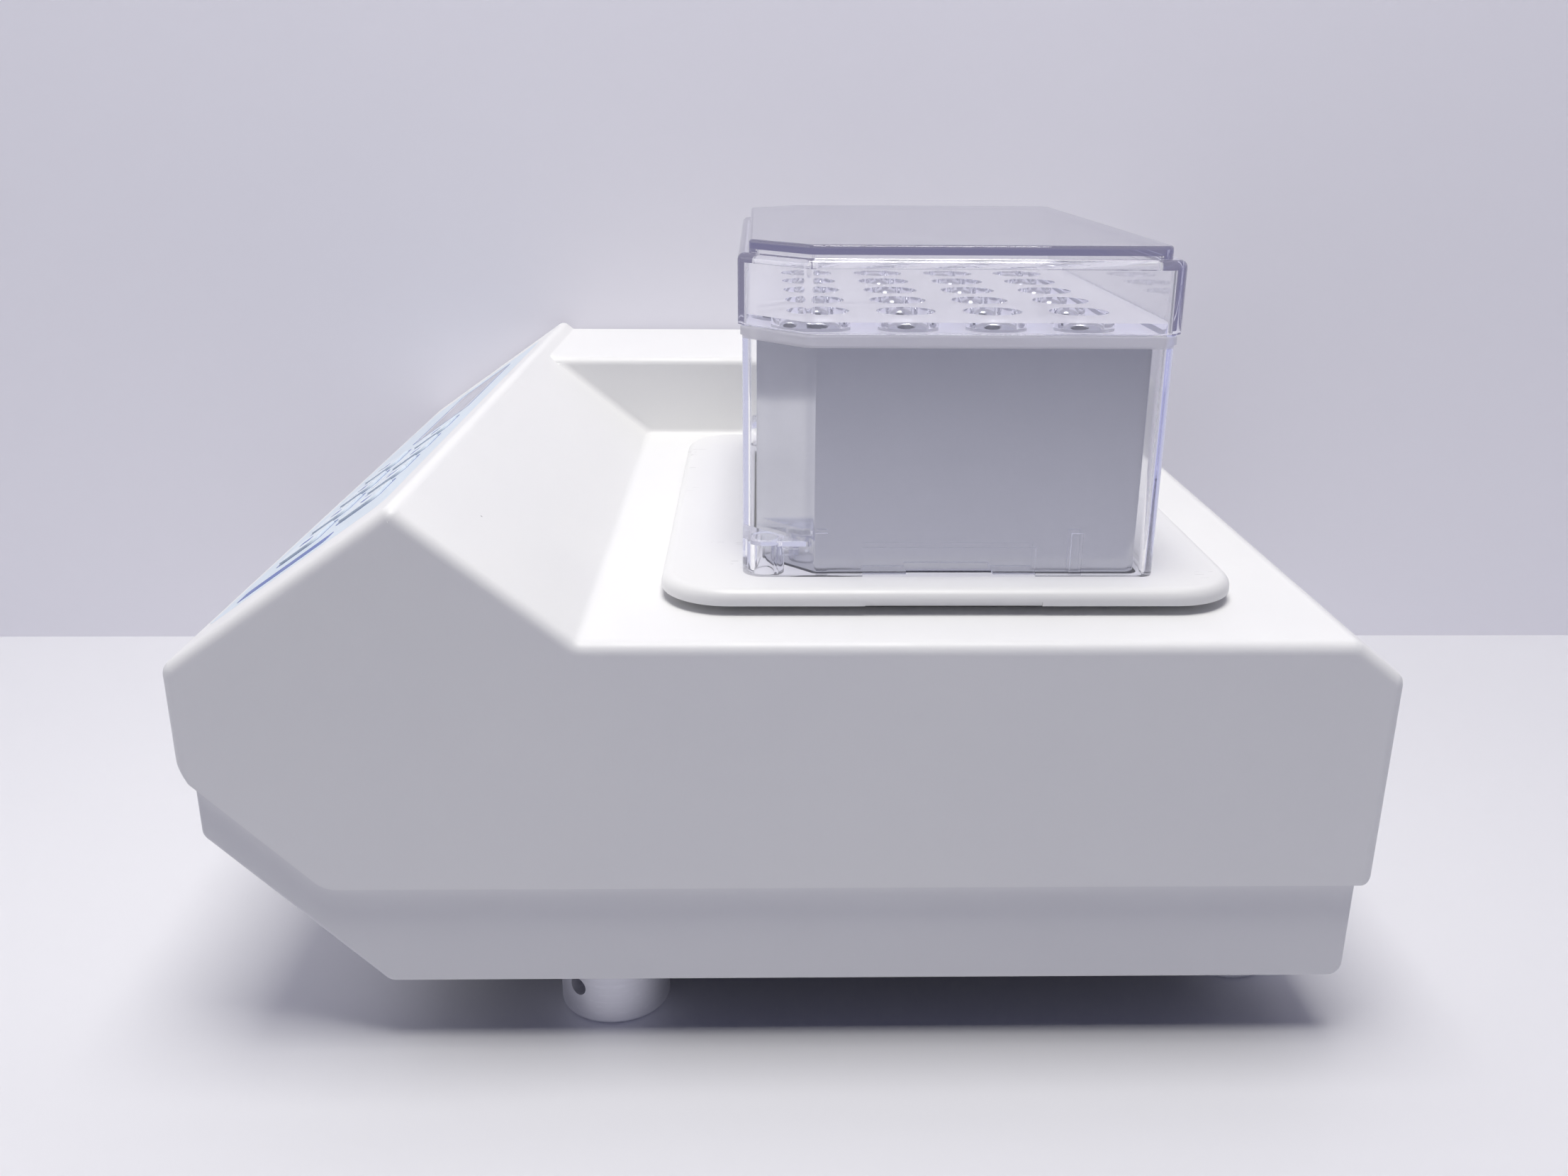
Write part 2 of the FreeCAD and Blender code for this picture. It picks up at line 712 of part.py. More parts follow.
def mains_openings():
    """Cut-outs for the inlet and the switch in the pocket's floor."""
    y0 = back - POCKET_DEPTH - 2 * COVER_WALL
    y1 = back - POCKET_DEPTH
    inlet = rectangle(pocket_x, POCKET_Z - INLET_DROP, INLET_BODY_W / 2 + PANEL_CUT_GAP,
                      INLET_BODY_H / 2 + PANEL_CUT_GAP, 0)
    switch = rectangle(pocket_x, POCKET_Z + SWITCH_RISE, SWITCH_BODY_W / 2 + PANEL_CUT_GAP,
                       SWITCH_BODY_H / 2 + PANEL_CUT_GAP, 0)
    return [prism_y(inlet, y0, y1), prism_y(switch, y0, y1)]


def tray_profile():
    """Side profile of the tray, with its lip inside the cover."""
    front = -tray_back
    slope = TRAY_LIP * (math.sqrt(2) - 1)
    return [(front + TRAY_BEVEL_RUN, FOOT_HEIGHT, PROFILE_R), (tray_back, FOOT_HEIGHT, PROFILE_R),
            (tray_back, lip_z, 0), (-back + VISOR_RUN + slope, lip_z, 0),
            (front, SPLIT_Z + VISOR_RUN - TRAY_RECESS + TRAY_LIP * math.sqrt(2), 0),
            (front, FOOT_HEIGHT + TRAY_BEVEL_RUN, PROFILE_R)]


def base_tray():
    """Lower shell with posts, stud bosses and vents."""
    tray = prism_x(tray_profile(), -tray_side, tray_side)
    tray = tray.makeFillet(TRAY_EDGE_R, tray_edges(tray, -tray_side) + tray_edges(tray, tray_side))
    walls = [TRAY_WALL, TRAY_WALL, -TRAY_LIP, -TRAY_LIP, TRAY_WALL, TRAY_WALL]
    inside = prism_x(inset(tray_profile(), walls), -tray_side + TRAY_WALL, tray_side - TRAY_WALL)
    tray = tray.cut(inside)
    posts = [disc(x, y, FOOT_HEIGHT, lip_z, CASE_POST_R) for x, y in case_posts]
    posts += [disc(x, y, FOOT_HEIGHT, floor_z + STUD_BITE, STUD_BOSS_R) for x, y in feet]
    posts += [disc(x, y, FOOT_HEIGHT, chassis_z, CHASSIS_POST_R) for x, y in chassis_posts]
    posts += [disc(x, y, FOOT_HEIGHT, floor_z + POWER_BOARD_RISE, POWER_POST_R) for x, y in power_posts()]
    tray = tray.fuse([post.common(inside) for post in posts])
    cuts = []
    for x, y in case_posts:
        cuts.append(disc(x, y, FOOT_HEIGHT - 1, lip_z + 1, CASE_SCREW_R + SCREW_GAP))
        head_top = case_screw_z() + CASE_SCREW_HEAD_H
        cuts.append(disc(x, y, FOOT_HEIGHT - 1, head_top, CASE_SCREW_HEAD_R + SCREW_GAP))
    for x, y in feet:
        cuts.append(disc(x, y, FOOT_HEIGHT - 1, floor_z + STUD_BITE + 1, STUD_R + RUN_GAP))
    for x, y in chassis_posts:
        cuts.append(disc(x, y, chassis_z - M3_REACH - SCREW_GAP, chassis_z + 1, M3_R + SCREW_GAP))
    for index in range(VENT_COUNT):
        x = VENT_X + (index - (VENT_COUNT - 1) / 2) * VENT_PITCH
        slot = rectangle(x, VENT_Y, VENT_WIDTH / 2, VENT_LENGTH / 2, VENT_WIDTH / 2 - 0.01)
        cuts.append(prism_z(slot, FOOT_HEIGHT - 1, floor_z + 1))
    return tray.cut(cuts).removeSplitter()


def case_screw_z():
    """Underside of a case screw's head."""
    return FOOT_HEIGHT + CASE_SCREW_SINK


def case_screws():
    """Four screws from below that hold the cover to the tray."""
    screws = []
    for x, y in case_posts:
        head = disc(x, y, case_screw_z(), case_screw_z() + CASE_SCREW_HEAD_H, CASE_SCREW_HEAD_R)
        screw = head.fuse(disc(x, y, case_screw_z(), lip_z + CASE_SCREW_BITE, CASE_SCREW_R))
        socket = hexagon(x, y, case_screw_z(), case_screw_z() + CASE_SCREW_HEX_DEPTH, CASE_SCREW_HEX)
        screws.append(screw.cut(socket))
    return group(screws)


# Levelling feet
def foot(x, y):
    """Round foot with a blind hole for a tommy bar."""
    top = FOOT_HEIGHT - FOOT_GAP
    body = disc(x, y, 0, top, FOOT_R)
    body = body.makeFillet(FOOT_EDGE_R, edges_at_z(body, 0) + edges_at_z(body, top))
    body = body.cut(disc(x, y, FOOT_FLOOR, FOOT_HEIGHT, STUD_R + RUN_GAP))
    angle = math.radians(TOMMY_ANGLE if x > 0 else 180 - TOMMY_ANGLE)
    way = FreeCAD.Vector(-math.cos(angle), -math.sin(angle), 0)
    mouth = FreeCAD.Vector(x, y, TOMMY_Z) - way * FOOT_R
    return body.cut(Part.makeCylinder(TOMMY_R, TOMMY_DEPTH, mouth, way))


def foot_stud(x, y):
    """Threaded stud that carries a foot."""
    return disc(x, y, FOOT_FLOOR, floor_z + STUD_BITE, STUD_R)


# Orbital drive
def bearing(x, y, z0, z1, r_out):
    """Sealed bearing: two rings with a sunk seal between them."""
    race = (r_out - CRANK_PIN_R) / 3
    whole = ring(x, y, z0, z1, r_out, CRANK_PIN_R + RUN_GAP)
    sunk = ring(x, y, z0, z0 + FACE_GAP, r_out - race, CRANK_PIN_R + race)
    upper = ring(x, y, z1 - FACE_GAP, z1, r_out - race, CRANK_PIN_R + race)
    return whole.cut([sunk, upper])


def chassis_plate():
    """Steel plate that carries the motor and the idlers."""
    plate = prism_z(rectangle(centre_x, centre_y, CHASSIS_X / 2, CHASSIS_Y / 2, CHASSIS_CORNER_R),
                    chassis_z, chassis_top)
    cuts = [disc(centre_x, centre_y, chassis_z, chassis_top, MOTOR_PILOT_R + SCREW_GAP)]
    cuts += [disc(x, y, chassis_z, chassis_top, M3_R + SCREW_GAP) for x, y in motor_holes + chassis_posts]
    cuts += [disc(x, y, chassis_z, chassis_top, BUSH_R) for x, y in idlers]
    return plate.cut(cuts)


def mechanism_screws():
    """Pan screws of the chassis posts and of the motor."""
    screws = []
    for x, y in chassis_posts + motor_holes:
        head = disc(x, y, chassis_top, chassis_top + M3_HEAD_H, M3_HEAD_R)
        screws.append(head.fuse(disc(x, y, chassis_z - M3_REACH, chassis_top, M3_R)))
    return group(screws)


def drive_motor():
    """Square motor hung under the chassis, with end caps and a stepped waist."""
    bottom = chassis_z - MOTOR_HEIGHT
    corners = motor_outline(0)
    body = prism_z(corners, bottom, chassis_z)
    waist = prism_z(corners, bottom + MOTOR_END_CAP, chassis_z - MOTOR_END_CAP)
    core = prism_z(motor_outline(MOTOR_WAIST), bottom + MOTOR_END_CAP, chassis_z - MOTOR_END_CAP)
    body = body.cut(waist).fuse(core)
    body = body.fuse(disc(centre_x, centre_y, chassis_z, chassis_z + MOTOR_PILOT_H, MOTOR_PILOT_R))
    cuts = [disc(centre_x, centre_y, chassis_z - MOTOR_SHAFT_IN, chassis_top, MOTOR_SHAFT_R + RUN_GAP)]
    tap_end = chassis_z - M3_REACH - SCREW_GAP
    cuts += [disc(x, y, tap_end, chassis_z, M3_R + SCREW_GAP) for x, y in motor_holes]
    return body.cut(cuts).removeSplitter()


def motor_outline(step):
    """Square plan with clipped corners, moved inwards by a step."""
    half = MOTOR_SIDE / 2 - step
    clip = half - MOTOR_CORNER
    x, y = centre_x, centre_y
    return [(x - clip, y - half, 0), (x + clip, y - half, 0),
            (x + half, y - clip, 0), (x + half, y + clip, 0),
            (x + clip, y + half, 0), (x - clip, y + half, 0),
            (x - half, y + clip, 0), (x - half, y - clip, 0)]


def motor_shaft():
    """Shaft from inside the motor up into the crank."""
    bottom = chassis_z - MOTOR_SHAFT_IN + FACE_GAP
    return disc(centre_x, centre_y, bottom, web_top - FACE_GAP, MOTOR_SHAFT_R)


def drive_crank():
    """Hub, web and pin, with a counterweight across from the pin."""
    web = disc(centre_x, centre_y, web_z, web_top, CRANK_WEB_R)
    weight = disc(centre_x, centre_y, web_z, web_top, COUNTERWEIGHT_R)
    keep = block(centre_x - COUNTERWEIGHT_R, centre_x - COUNTERWEIGHT_DEPTH, centre_y - COUNTERWEIGHT_R,
                 centre_y + COUNTERWEIGHT_R, web_z, web_top)
    hub = disc(centre_x, centre_y, web_z - CRANK_HUB_H, web_z, CRANK_HUB_R)
    crank = web.fuse([weight.common(keep), hub])
    crank = crank.cut(disc(centre_x, centre_y, web_z - CRANK_HUB_H, web_top - FACE_GAP, MOTOR_SHAFT_R))
    pin = disc(centre_x + ORBIT_R, centre_y, web_top, carriage_z + DRIVE_BEARING_T - FACE_GAP, CRANK_PIN_R)
    return crank.fuse(pin).removeSplitter()


def idler_crank(x, y):
    """Small crank that keeps the carriage level: journal below, pin above."""
    journal = disc(x, y, chassis_z - BUSH_DROP, web_z, IDLER_JOURNAL_R)
    web = disc(x, y, web_z, web_top, IDLER_WEB_R)
    pin = disc(x + ORBIT_R, y, web_top, carriage_z + IDLER_BEARING_T - FACE_GAP, CRANK_PIN_R)
    return web.fuse([journal, pin]).removeSplitter()


def idler_bush(x, y):
    """Flanged bush pressed into the chassis."""
    body = disc(x, y, chassis_z - BUSH_DROP, bush_top, BUSH_R)
    flange = disc(x, y, chassis_top, chassis_top + BUSH_FLANGE_T, BUSH_FLANGE_R)
    bore = disc(x, y, chassis_z - BUSH_DROP, bush_top, IDLER_JOURNAL_R + RUN_GAP)
    return body.fuse(flange).cut(bore).removeSplitter()


# Platform
def carriage():
    """Aluminium plate with bearing seats and blind screw holes."""
    plate = prism_z(rectangle(centre_x, centre_y, frame_x, frame_y, DECK_HOLE_R - ORBIT_R),
                    carriage_z, insulation_z)
    cuts = [disc(centre_x + ORBIT_R, centre_y, carriage_z, carriage_z + DRIVE_BEARING_T, DRIVE_BEARING_R)]
    seat_top = carriage_z + IDLER_BEARING_T
    cuts += [disc(x + ORBIT_R, y, carriage_z, seat_top, IDLER_BEARING_R) for x, y in idlers]
    return plate.cut(cuts)


def drive_bearing():
    """Bearing on the drive crank's pin."""
    return bearing(centre_x + ORBIT_R, centre_y, carriage_z, carriage_z + DRIVE_BEARING_T, DRIVE_BEARING_R)


def idler_bearings():
    """Bearings on the idlers' pins."""
    z1 = carriage_z + IDLER_BEARING_T
    return group([bearing(x + ORBIT_R, y, carriage_z, z1, IDLER_BEARING_R) for x, y in idlers])


def surround_frame():
    """Insulating frame between carriage and plate, round the heater."""
    outer = rectangle(centre_x, centre_y, frame_x, frame_y, DECK_HOLE_R - ORBIT_R)
    inner = rectangle(centre_x, centre_y, frame_x - FRAME_WALL, frame_y - FRAME_WALL, FRAME_GAP)
    return prism_z(outer, insulation_z, plate_z).cut(prism_z(inner, insulation_z, plate_z))


def heater_sheet(z0, z1, step, holes):
    """Flat layer of the heater stack with holes for the standoffs."""
    half_x = frame_x - FRAME_WALL - FRAME_GAP - step
    half_y = frame_y - FRAME_WALL - FRAME_GAP - step
    sheet = block(centre_x - half_x, centre_x + half_x, centre_y - half_y, centre_y + half_y, z0, z1)
    return sheet.cut([disc(x, y, z0, z1, r) for x, y, r in holes])


def standoff_holes():
    """Clearance for each standoff."""
    return [(x, y, STANDOFF_R + STANDOFF_GAP) for x, y in standoffs]


def insulation_board():
    """Mineral board under the heater, with room for the cut-out."""
    room = [(centre_x + CUTOUT_OFFSET_X, centre_y, CUTOUT_R + CUTOUT_GAP)]
    return heater_sheet(insulation_z, mat_z, 0, standoff_holes() + room)


def heater_mat():
    """Silicone heater under the plate."""
    return heater_sheet(mat_z, heater_z, MAT_INSET, standoff_holes())


def heater_plate():
    """Aluminium plate under the block, bored for the sensor and tapped for the block screws."""
    plate = heater_sheet(heater_z, plate_z, 0, [])
    taps = [disc(x, y, plate_z - BLOCK_SCREW_REACH - SCREW_GAP, plate_z, BLOCK_SCREW_R + SCREW_GAP)
            for x, y in block_screw_places]
    return plate.cut(taps + [sensor_rod(SENSOR_R + SENSOR_GAP)])


def sensor_rod(r):
    """Rod along the sensor's bore, from the plate's front edge inwards."""
    start = FreeCAD.Vector(centre_x, centre_y - frame_y + FRAME_WALL + FRAME_GAP, heater_z + HEATER_T / 2)
    return Part.makeCylinder(r, SENSOR_LENGTH, start, Y_AXIS)


def heater_standoffs():
    """Pillars that hold the heater plate off the carriage."""
    return group([disc(x, y, insulation_z, heater_z, STANDOFF_R) for x, y in standoffs])


def thermal_cutout():
    """Safety cut-out against the heater mat."""
    return disc(centre_x + CUTOUT_OFFSET_X, centre_y, mat_z - CUTOUT_T, mat_z, CUTOUT_R)


def platform_plate():
    """White plate with soft edges and an opening for the block."""
    plate = prism_z(rectangle(centre_x, centre_y, plate_x, plate_y, PLATE_CORNER_R), plate_z, plate_top)
    plate = plate.makeFillet(PLATE_EDGE_R, edges_at_z(plate, plate_top))
    gap = PLATE_BLOCK_GAP
    chamfer = inner_chamfer(BLOCK_CHAMFER, -gap)
    opening = clipped(block_x + gap, block_y + gap, chamfer, BLOCK_CORNER_R, BLOCK_CLIP_R)
    cuts = [prism_z(opening, plate_z, plate_top)]
    for sign in (-1, 1):
        grip = rectangle(centre_x + sign * plate_x, centre_y, PLATE_GRIP_DEPTH, GRIP_LENGTH / 2, 0)
        cuts.append(prism_z(grip, plate_z, plate_top - PLATE_EDGE_R))
    return plate.cut(cuts)


def well(x, y):
    """Bore of one tube, with a tapered tip."""
    tip = block_top - WELL_DEPTH
    bore = disc(x, y, tip, block_top, WELL_R)
    cone = Part.makeCone(WELL_TIP_R, WELL_R, WELL_TIP_DEPTH, FreeCAD.Vector(x, y, tip - WELL_TIP_DEPTH))
    rim = Part.makeCone(WELL_R, WELL_R + WELL_RIM, WELL_RIM, FreeCAD.Vector(x, y, block_top - WELL_RIM))
    return bore.fuse([cone, rim])


def tube_block():
    """Aluminium block with its wells and sunk screw seats."""
    plan = clipped(block_x, block_y, BLOCK_CHAMFER, BLOCK_CORNER_R, BLOCK_CLIP_R)
    solid = prism_z(plan, plate_z, block_top)
    cuts = [well(x, y) for x, y in wells()]
    for x, y in block_screw_places:
        cuts.append(disc(x, y, plate_z, block_top, BLOCK_SCREW_R + SCREW_GAP))
        cuts.append(disc(x, y, block_top - BLOCK_SCREW_SINK, block_top, BLOCK_SCREW_HEAD_R + SCREW_GAP))
    return solid.cut(cuts)


def block_screws():
    """Two screws that hold the block on the heater plate."""
    seat = block_top - BLOCK_SCREW_SINK
    screws = []
    for x, y in block_screw_places:
        head = disc(x, y, seat, seat + BLOCK_SCREW_HEAD_H, BLOCK_SCREW_HEAD_R)
        screw = head.fuse(disc(x, y, plate_z - BLOCK_SCREW_REACH, seat, BLOCK_SCREW_R))
        top = seat + BLOCK_SCREW_HEAD_H
        screws.append(screw.cut(hexagon(x, y, top - BLOCK_SCREW_HEX_DEPTH, top, BLOCK_SCREW_HEX)))
    return group(screws)


# Rack and lid
def rack_plan(step, r):
    """Plan of the rack moved inwards by a step, or outwards if it is negative."""
    chamfer = inner_chamfer(RACK_CHAMFER, step)
    return clipped(rack_x - step, rack_y - step, chamfer, r, RACK_CLIP_R)


def rack():
    """Clear rack: clipped walls on a square skirt, rim and hole plate."""
    wall = RACK_WALL
    skirt_z = plate_top + SKIRT_HEIGHT
    plate_bottom = hole_plate_z - HOLE_PLATE_SINK
    rim = prism_z(rack_plan(-RIM_PROUD, RACK_CORNER_R), hole_plate_z - RIM_HEIGHT, hole_plate_z)
    rim = rim.makeFillet(RIM_EDGE_R, edges_at_z(rim, hole_plate_z))
    outer = prism_z(rack_plan(0, RACK_CORNER_R), plate_top, hole_plate_z - RIM_HEIGHT)
    skirt = prism_z(rectangle(centre_x, centre_y, rack_x, rack_y, SKIRT_CORNER_R), plate_top, skirt_z)
    spigot = LID_WALL + LID_SPIGOT_GAP - RIM_PROUD - LID_PROUD
    plate = prism_z(rack_plan(spigot, RACK_CORNER_R / 2), plate_bottom, hole_plate_top)
    inner = prism_z(rack_plan(wall, RACK_CORNER_R / 2), plate_top, plate_bottom)
    skirt_inner = prism_z(rectangle(centre_x, centre_y, rack_x - wall, rack_y - wall, SKIRT_CORNER_R - wall),
                          plate_top, skirt_z - LEDGE_T)
    solid = outer.fuse([skirt, rim, plate]).cut([inner, skirt_inner])
    solid = solid.fuse(rack_posts() + guide_ribs())
    cuts = [disc(x, y, plate_bottom, hole_plate_top, HOLE_R) for x, y in wells()]
    cuts += [disc(x, y, plate_top, skirt_z - LEDGE_T, POST_BORE_R) for x, y in post_places()]
    return solid.cut(cuts + grip_cuts()).removeSplitter()


def grip_cuts():
    """Slot, relief and shallow panel at the foot of each short wall, for lifting the rack."""
    solids = []
    for sign in (-1, 1):
        x = centre_x + sign * rack_x
        inside = centre_x + sign * (rack_x - RACK_WALL)
        slot = rectangle(x, centre_y, 2 * RACK_WALL, SLOT_LENGTH / 2, 0)
        solids.append(prism_z(slot, plate_top, plate_top + SLOT_HEIGHT))
        relief = rectangle(x, centre_y, 2 * RACK_WALL, GRIP_LENGTH / 2, 0)
        solids.append(prism_z(relief, plate_top, plate_top + GRIP_RELIEF))
        panel = rectangle(inside, centre_y, GRIP_DEPTH, GRIP_LENGTH / 2, 0)
        solids.append(prism_z(panel, plate_top, plate_top + GRIP_HEIGHT))
    return solids


def post_places():
    """Hollow posts in the two front corners of the skirt."""
    y = centre_y - rack_y + POST_INSET
    return [(centre_x + sign * (rack_x - POST_INSET), y) for sign in (-1, 1)]


def rack_posts():
    """Posts and the small fin beside each."""
    top = plate_top + SKIRT_HEIGHT - LEDGE_T
    solids = []
    for x, y in post_places():
        solids.append(disc(x, y, plate_top, top, POST_R))
        fin_y = y + POST_BORE_R
        solids.append(block(x - POST_FIN_T / 2, x + POST_FIN_T / 2, fin_y, fin_y + POST_FIN_LENGTH,
                            top - 2 * POST_FIN_HEIGHT, top - POST_FIN_HEIGHT))
    return solids


def guide_ribs():
    """Two low ribs inside each short wall."""
    solids = []
    for sign in (-1, 1):
        face = centre_x + sign * (rack_x - RACK_WALL)
        x0 = min(face, face - sign * GUIDE_RIB_T)
        for side_way in (-1, 1):
            y = centre_y + side_way * GUIDE_RIB_SPAN / 2
            solids.append(block(x0, x0 + GUIDE_RIB_T, y - GUIDE_RIB_W / 2, y + GUIDE_RIB_W / 2,
                                plate_top, plate_top + GUIDE_RIB_H))
    return solids


def lid():
    """Clear lid with a rounded shoulder and a raised panel."""
    out = -RIM_PROUD - LID_PROUD
    wall = out + LID_WALL
    step = out + LID_STEP
    skirt = prism_z(rack_plan(out, RACK_CORNER_R), hole_plate_z, shoulder_z)
    skirt = skirt.makeFillet(LID_EDGE_R, edges_at_z(skirt, shoulder_z))
    panel = prism_z(rack_plan(step, RACK_CORNER_R), shoulder_z - LID_WALL, panel_z)
    panel = panel.makeFillet(PANEL_EDGE_R, edges_at_z(panel, panel_z))
    inner = prism_z(rack_plan(wall, RACK_CORNER_R / 2), hole_plate_z, shoulder_z - LID_WALL)
    upper = prism_z(rack_plan(step + LID_WALL, RACK_CORNER_R / 2), shoulder_z - LID_WALL, panel_z - LID_WALL)
    return skirt.fuse(panel).cut([inner, upper]).removeSplitter()


# Control panel
def keypad_foil():
    """Foil in the slope's recess, open for the keys and the display."""
    foil = prism_z(rectangle(0, FOIL_V, FOIL_W / 2, FOIL_H / 2, FOIL_R), -FOIL_T, 0)
    cuts = [prism_z(rectangle(DISPLAY_X, DISPLAY_V, DISPLAY_W / 2, DISPLAY_H / 2, DISPLAY_R), -FOIL_T, 0)]
    for x, v in keys():
        cuts.append(prism_z(rectangle(x, v, KEY_W / 2 + KEY_GAP, KEY_H / 2 + KEY_GAP, KEY_R), -FOIL_T, 0))
    return on_slope(foil.cut(cuts))


def display_window():
    """Clear window in the foil."""
    half_x = DISPLAY_W / 2 - FOIL_GAP
    half_v = DISPLAY_H / 2 - FOIL_GAP
    return on_slope(prism_z(rectangle(DISPLAY_X, DISPLAY_V, half_x, half_v, DISPLAY_R), -FOIL_T, 0))


def display_module():
    """Display on the control board, behind the cover's cut-out."""
    half_x = DISPLAY_W / 2 + DISPLAY_RIM
    half_v = DISPLAY_H / 2 + DISPLAY_RIM
    outer = rectangle(DISPLAY_X, DISPLAY_V, half_x, half_v, DISPLAY_R)
    body = prism_z(outer, -BOARD_DEPTH, -BOARD_DEPTH + DISPLAY_DEPTH)
    glass_x = DISPLAY_W / 2 - DISPLAY_LAND - FOIL_GAP
    glass_v = DISPLAY_H / 2 - DISPLAY_LAND - FOIL_GAP
    glass = prism_z(rectangle(DISPLAY_X, DISPLAY_V, glass_x, glass_v, DISPLAY_R), -BOARD_DEPTH, -COVER_WALL)
    return on_slope(body.fuse(glass).removeSplitter())


def control_board():
    """Circuit board on the cover's posts."""
    z0 = -BOARD_DEPTH - BOARD_T
    board = block(-BOARD_W / 2, BOARD_W / 2, -BOARD_H / 2, BOARD_H / 2, z0, -BOARD_DEPTH)
    return on_slope(board.cut([disc(x, v, z0, -BOARD_DEPTH, M3_R + SCREW_GAP) for x, v in board_posts()]))


def board_screws():
    """Screws of the control board."""
    z0 = -BOARD_DEPTH - BOARD_T
    screws = []
    for x, v in board_posts():
        head = disc(x, v, z0 - M3_HEAD_H, z0, M3_HEAD_R)
        screws.append(head.fuse(disc(x, v, z0, -BOARD_DEPTH + M3_REACH / 2, M3_R)))
    return on_slope(group(screws))


def key_switches():
    """One tactile switch under each key."""
    switches = []
    half = SWITCH_SIDE / 2
    for x, v in keys():
        body = block(x - half, x + half, v - half, v + half, -BOARD_DEPTH, -BOARD_DEPTH + SWITCH_T)
        nub = disc(x, v, -BOARD_DEPTH + SWITCH_T, -BOARD_DEPTH + SWITCH_T + SWITCH_NUB_H, SWITCH_NUB_R)
        switches.append(body.fuse(nub))
    return on_slope(group(switches))


def key(x, v):
    """Key pad with a stem down to its switch."""
    pad = prism_z(rectangle(x, v, KEY_W / 2, KEY_H / 2, KEY_R), -KEY_SINK, KEY_RISE)
    stem_end = -BOARD_DEPTH + SWITCH_T + SWITCH_NUB_H + KEY_TRAVEL + KEY_LAND_GAP
    return on_slope(pad.fuse(disc(x, v, stem_end, -KEY_SINK, KEY_STEM_R)).removeSplitter())


# Mains side
def power_inlet():
    """Appliance inlet with a keyed socket and a fuse drawer bay."""
    x, z = pocket_x, POCKET_Z - INLET_DROP
    front = back - POCKET_DEPTH + INLET_FLANGE_T
    seat = back - POCKET_DEPTH
    flange = prism_y(rectangle(x, z, INLET_W / 2, INLET_H / 2, INLET_FLANGE_R), seat, front)
    body = prism_y(rectangle(x, z, INLET_BODY_W / 2, INLET_BODY_H / 2, 0), seat - INLET_BODY_DEPTH, seat)
    drawer = prism_y(rectangle(x, z + FUSE_RISE, FUSE_W / 2, FUSE_H / 2, 0), front - FUSE_DEPTH, front)
    return flange.fuse(body).cut([socket_space(x, z - SOCKET_DROP, front), drawer]).removeSplitter()


def socket_space(x, z, front):
    """Keyed hollow of the inlet: clipped at its two upper corners."""
    half_w = SOCKET_W / 2
    half_h = SOCKET_H / 2
    points = [(x - half_w, z - half_h, 1), (x + half_w, z - half_h, 1),
              (x + half_w, z + half_h - SOCKET_CORNER, 0), (x + half_w - SOCKET_CORNER, z + half_h, 0),
              (x - half_w + SOCKET_CORNER, z + half_h, 0), (x - half_w, z + half_h - SOCKET_CORNER, 0)]
    return prism_y(points, front - SOCKET_DEPTH, front)


def inlet_pins():
    """Three flat pins standing in the socket."""
    x, z = pocket_x, POCKET_Z - INLET_DROP - SOCKET_DROP
    rear = back - POCKET_DEPTH + INLET_FLANGE_T - SOCKET_DEPTH
    pins = []
    for dx, dz in ((-PIN_SPREAD, -PIN_OFFSET), (0, PIN_OFFSET), (PIN_SPREAD, -PIN_OFFSET)):
        pins.append(block(x + dx - PIN_W / 2, x + dx + PIN_W / 2, rear, rear + PIN_LENGTH,
                          z + dz - PIN_H / 2, z + dz + PIN_H / 2))
    return group(pins)


def fuse_drawer():
    """Drawer in the inlet with a small lip to pull it."""
    x, z = pocket_x, POCKET_Z - INLET_DROP + FUSE_RISE
    front = back - POCKET_DEPTH + INLET_FLANGE_T
    half_w = FUSE_W / 2 - SCREW_GAP
    half_h = FUSE_H / 2 - SCREW_GAP
    drawer = prism_y(rectangle(x, z, half_w, half_h, 0), front - FUSE_DEPTH, front)
    grip = prism_y(rectangle(x, z - half_h / 2, half_w / 3, half_h / 4, 0), front, front + FUSE_GRIP)
    return drawer.fuse(grip)


def switch_housing():
    """Power switch body with a bezel, hollow for the rocker."""
    x, z = pocket_x, POCKET_Z + SWITCH_RISE
    seat = back - POCKET_DEPTH
    bezel = prism_y(rectangle(x, z, SWITCH_BEZEL_W / 2, SWITCH_BEZEL_H / 2, 1), seat, seat + SWITCH_BEZEL_T)
    body = prism_y(rectangle(x, z, SWITCH_BODY_W / 2, SWITCH_BODY_H / 2, 0), seat - SWITCH_BODY_DEPTH, seat)
    hollow = prism_y(rectangle(x, z, SWITCH_BODY_W / 2 - SWITCH_WALL, SWITCH_BODY_H / 2 - SWITCH_WALL, 0),
                     seat - rocker_room(), seat + SWITCH_BEZEL_T)
    reach = SWITCH_BODY_H / 2 - SWITCH_WALL + ROCKER_PIN_LENGTH
    pivot = disc(x, seat, z - reach, z + reach, ROCKER_PIN_R + RUN_GAP)
    return bezel.fuse(body).cut([hollow, pivot]).removeSplitter()


def rocker_room():
    """Depth of the switch's hollow, so that a tilted rocker clears its floor."""
    return ROCKER_DEPTH + (SWITCH_BODY_W / 2) * math.tan(math.radians(ROCKER_TILT)) - SWITCH_BEZEL_T


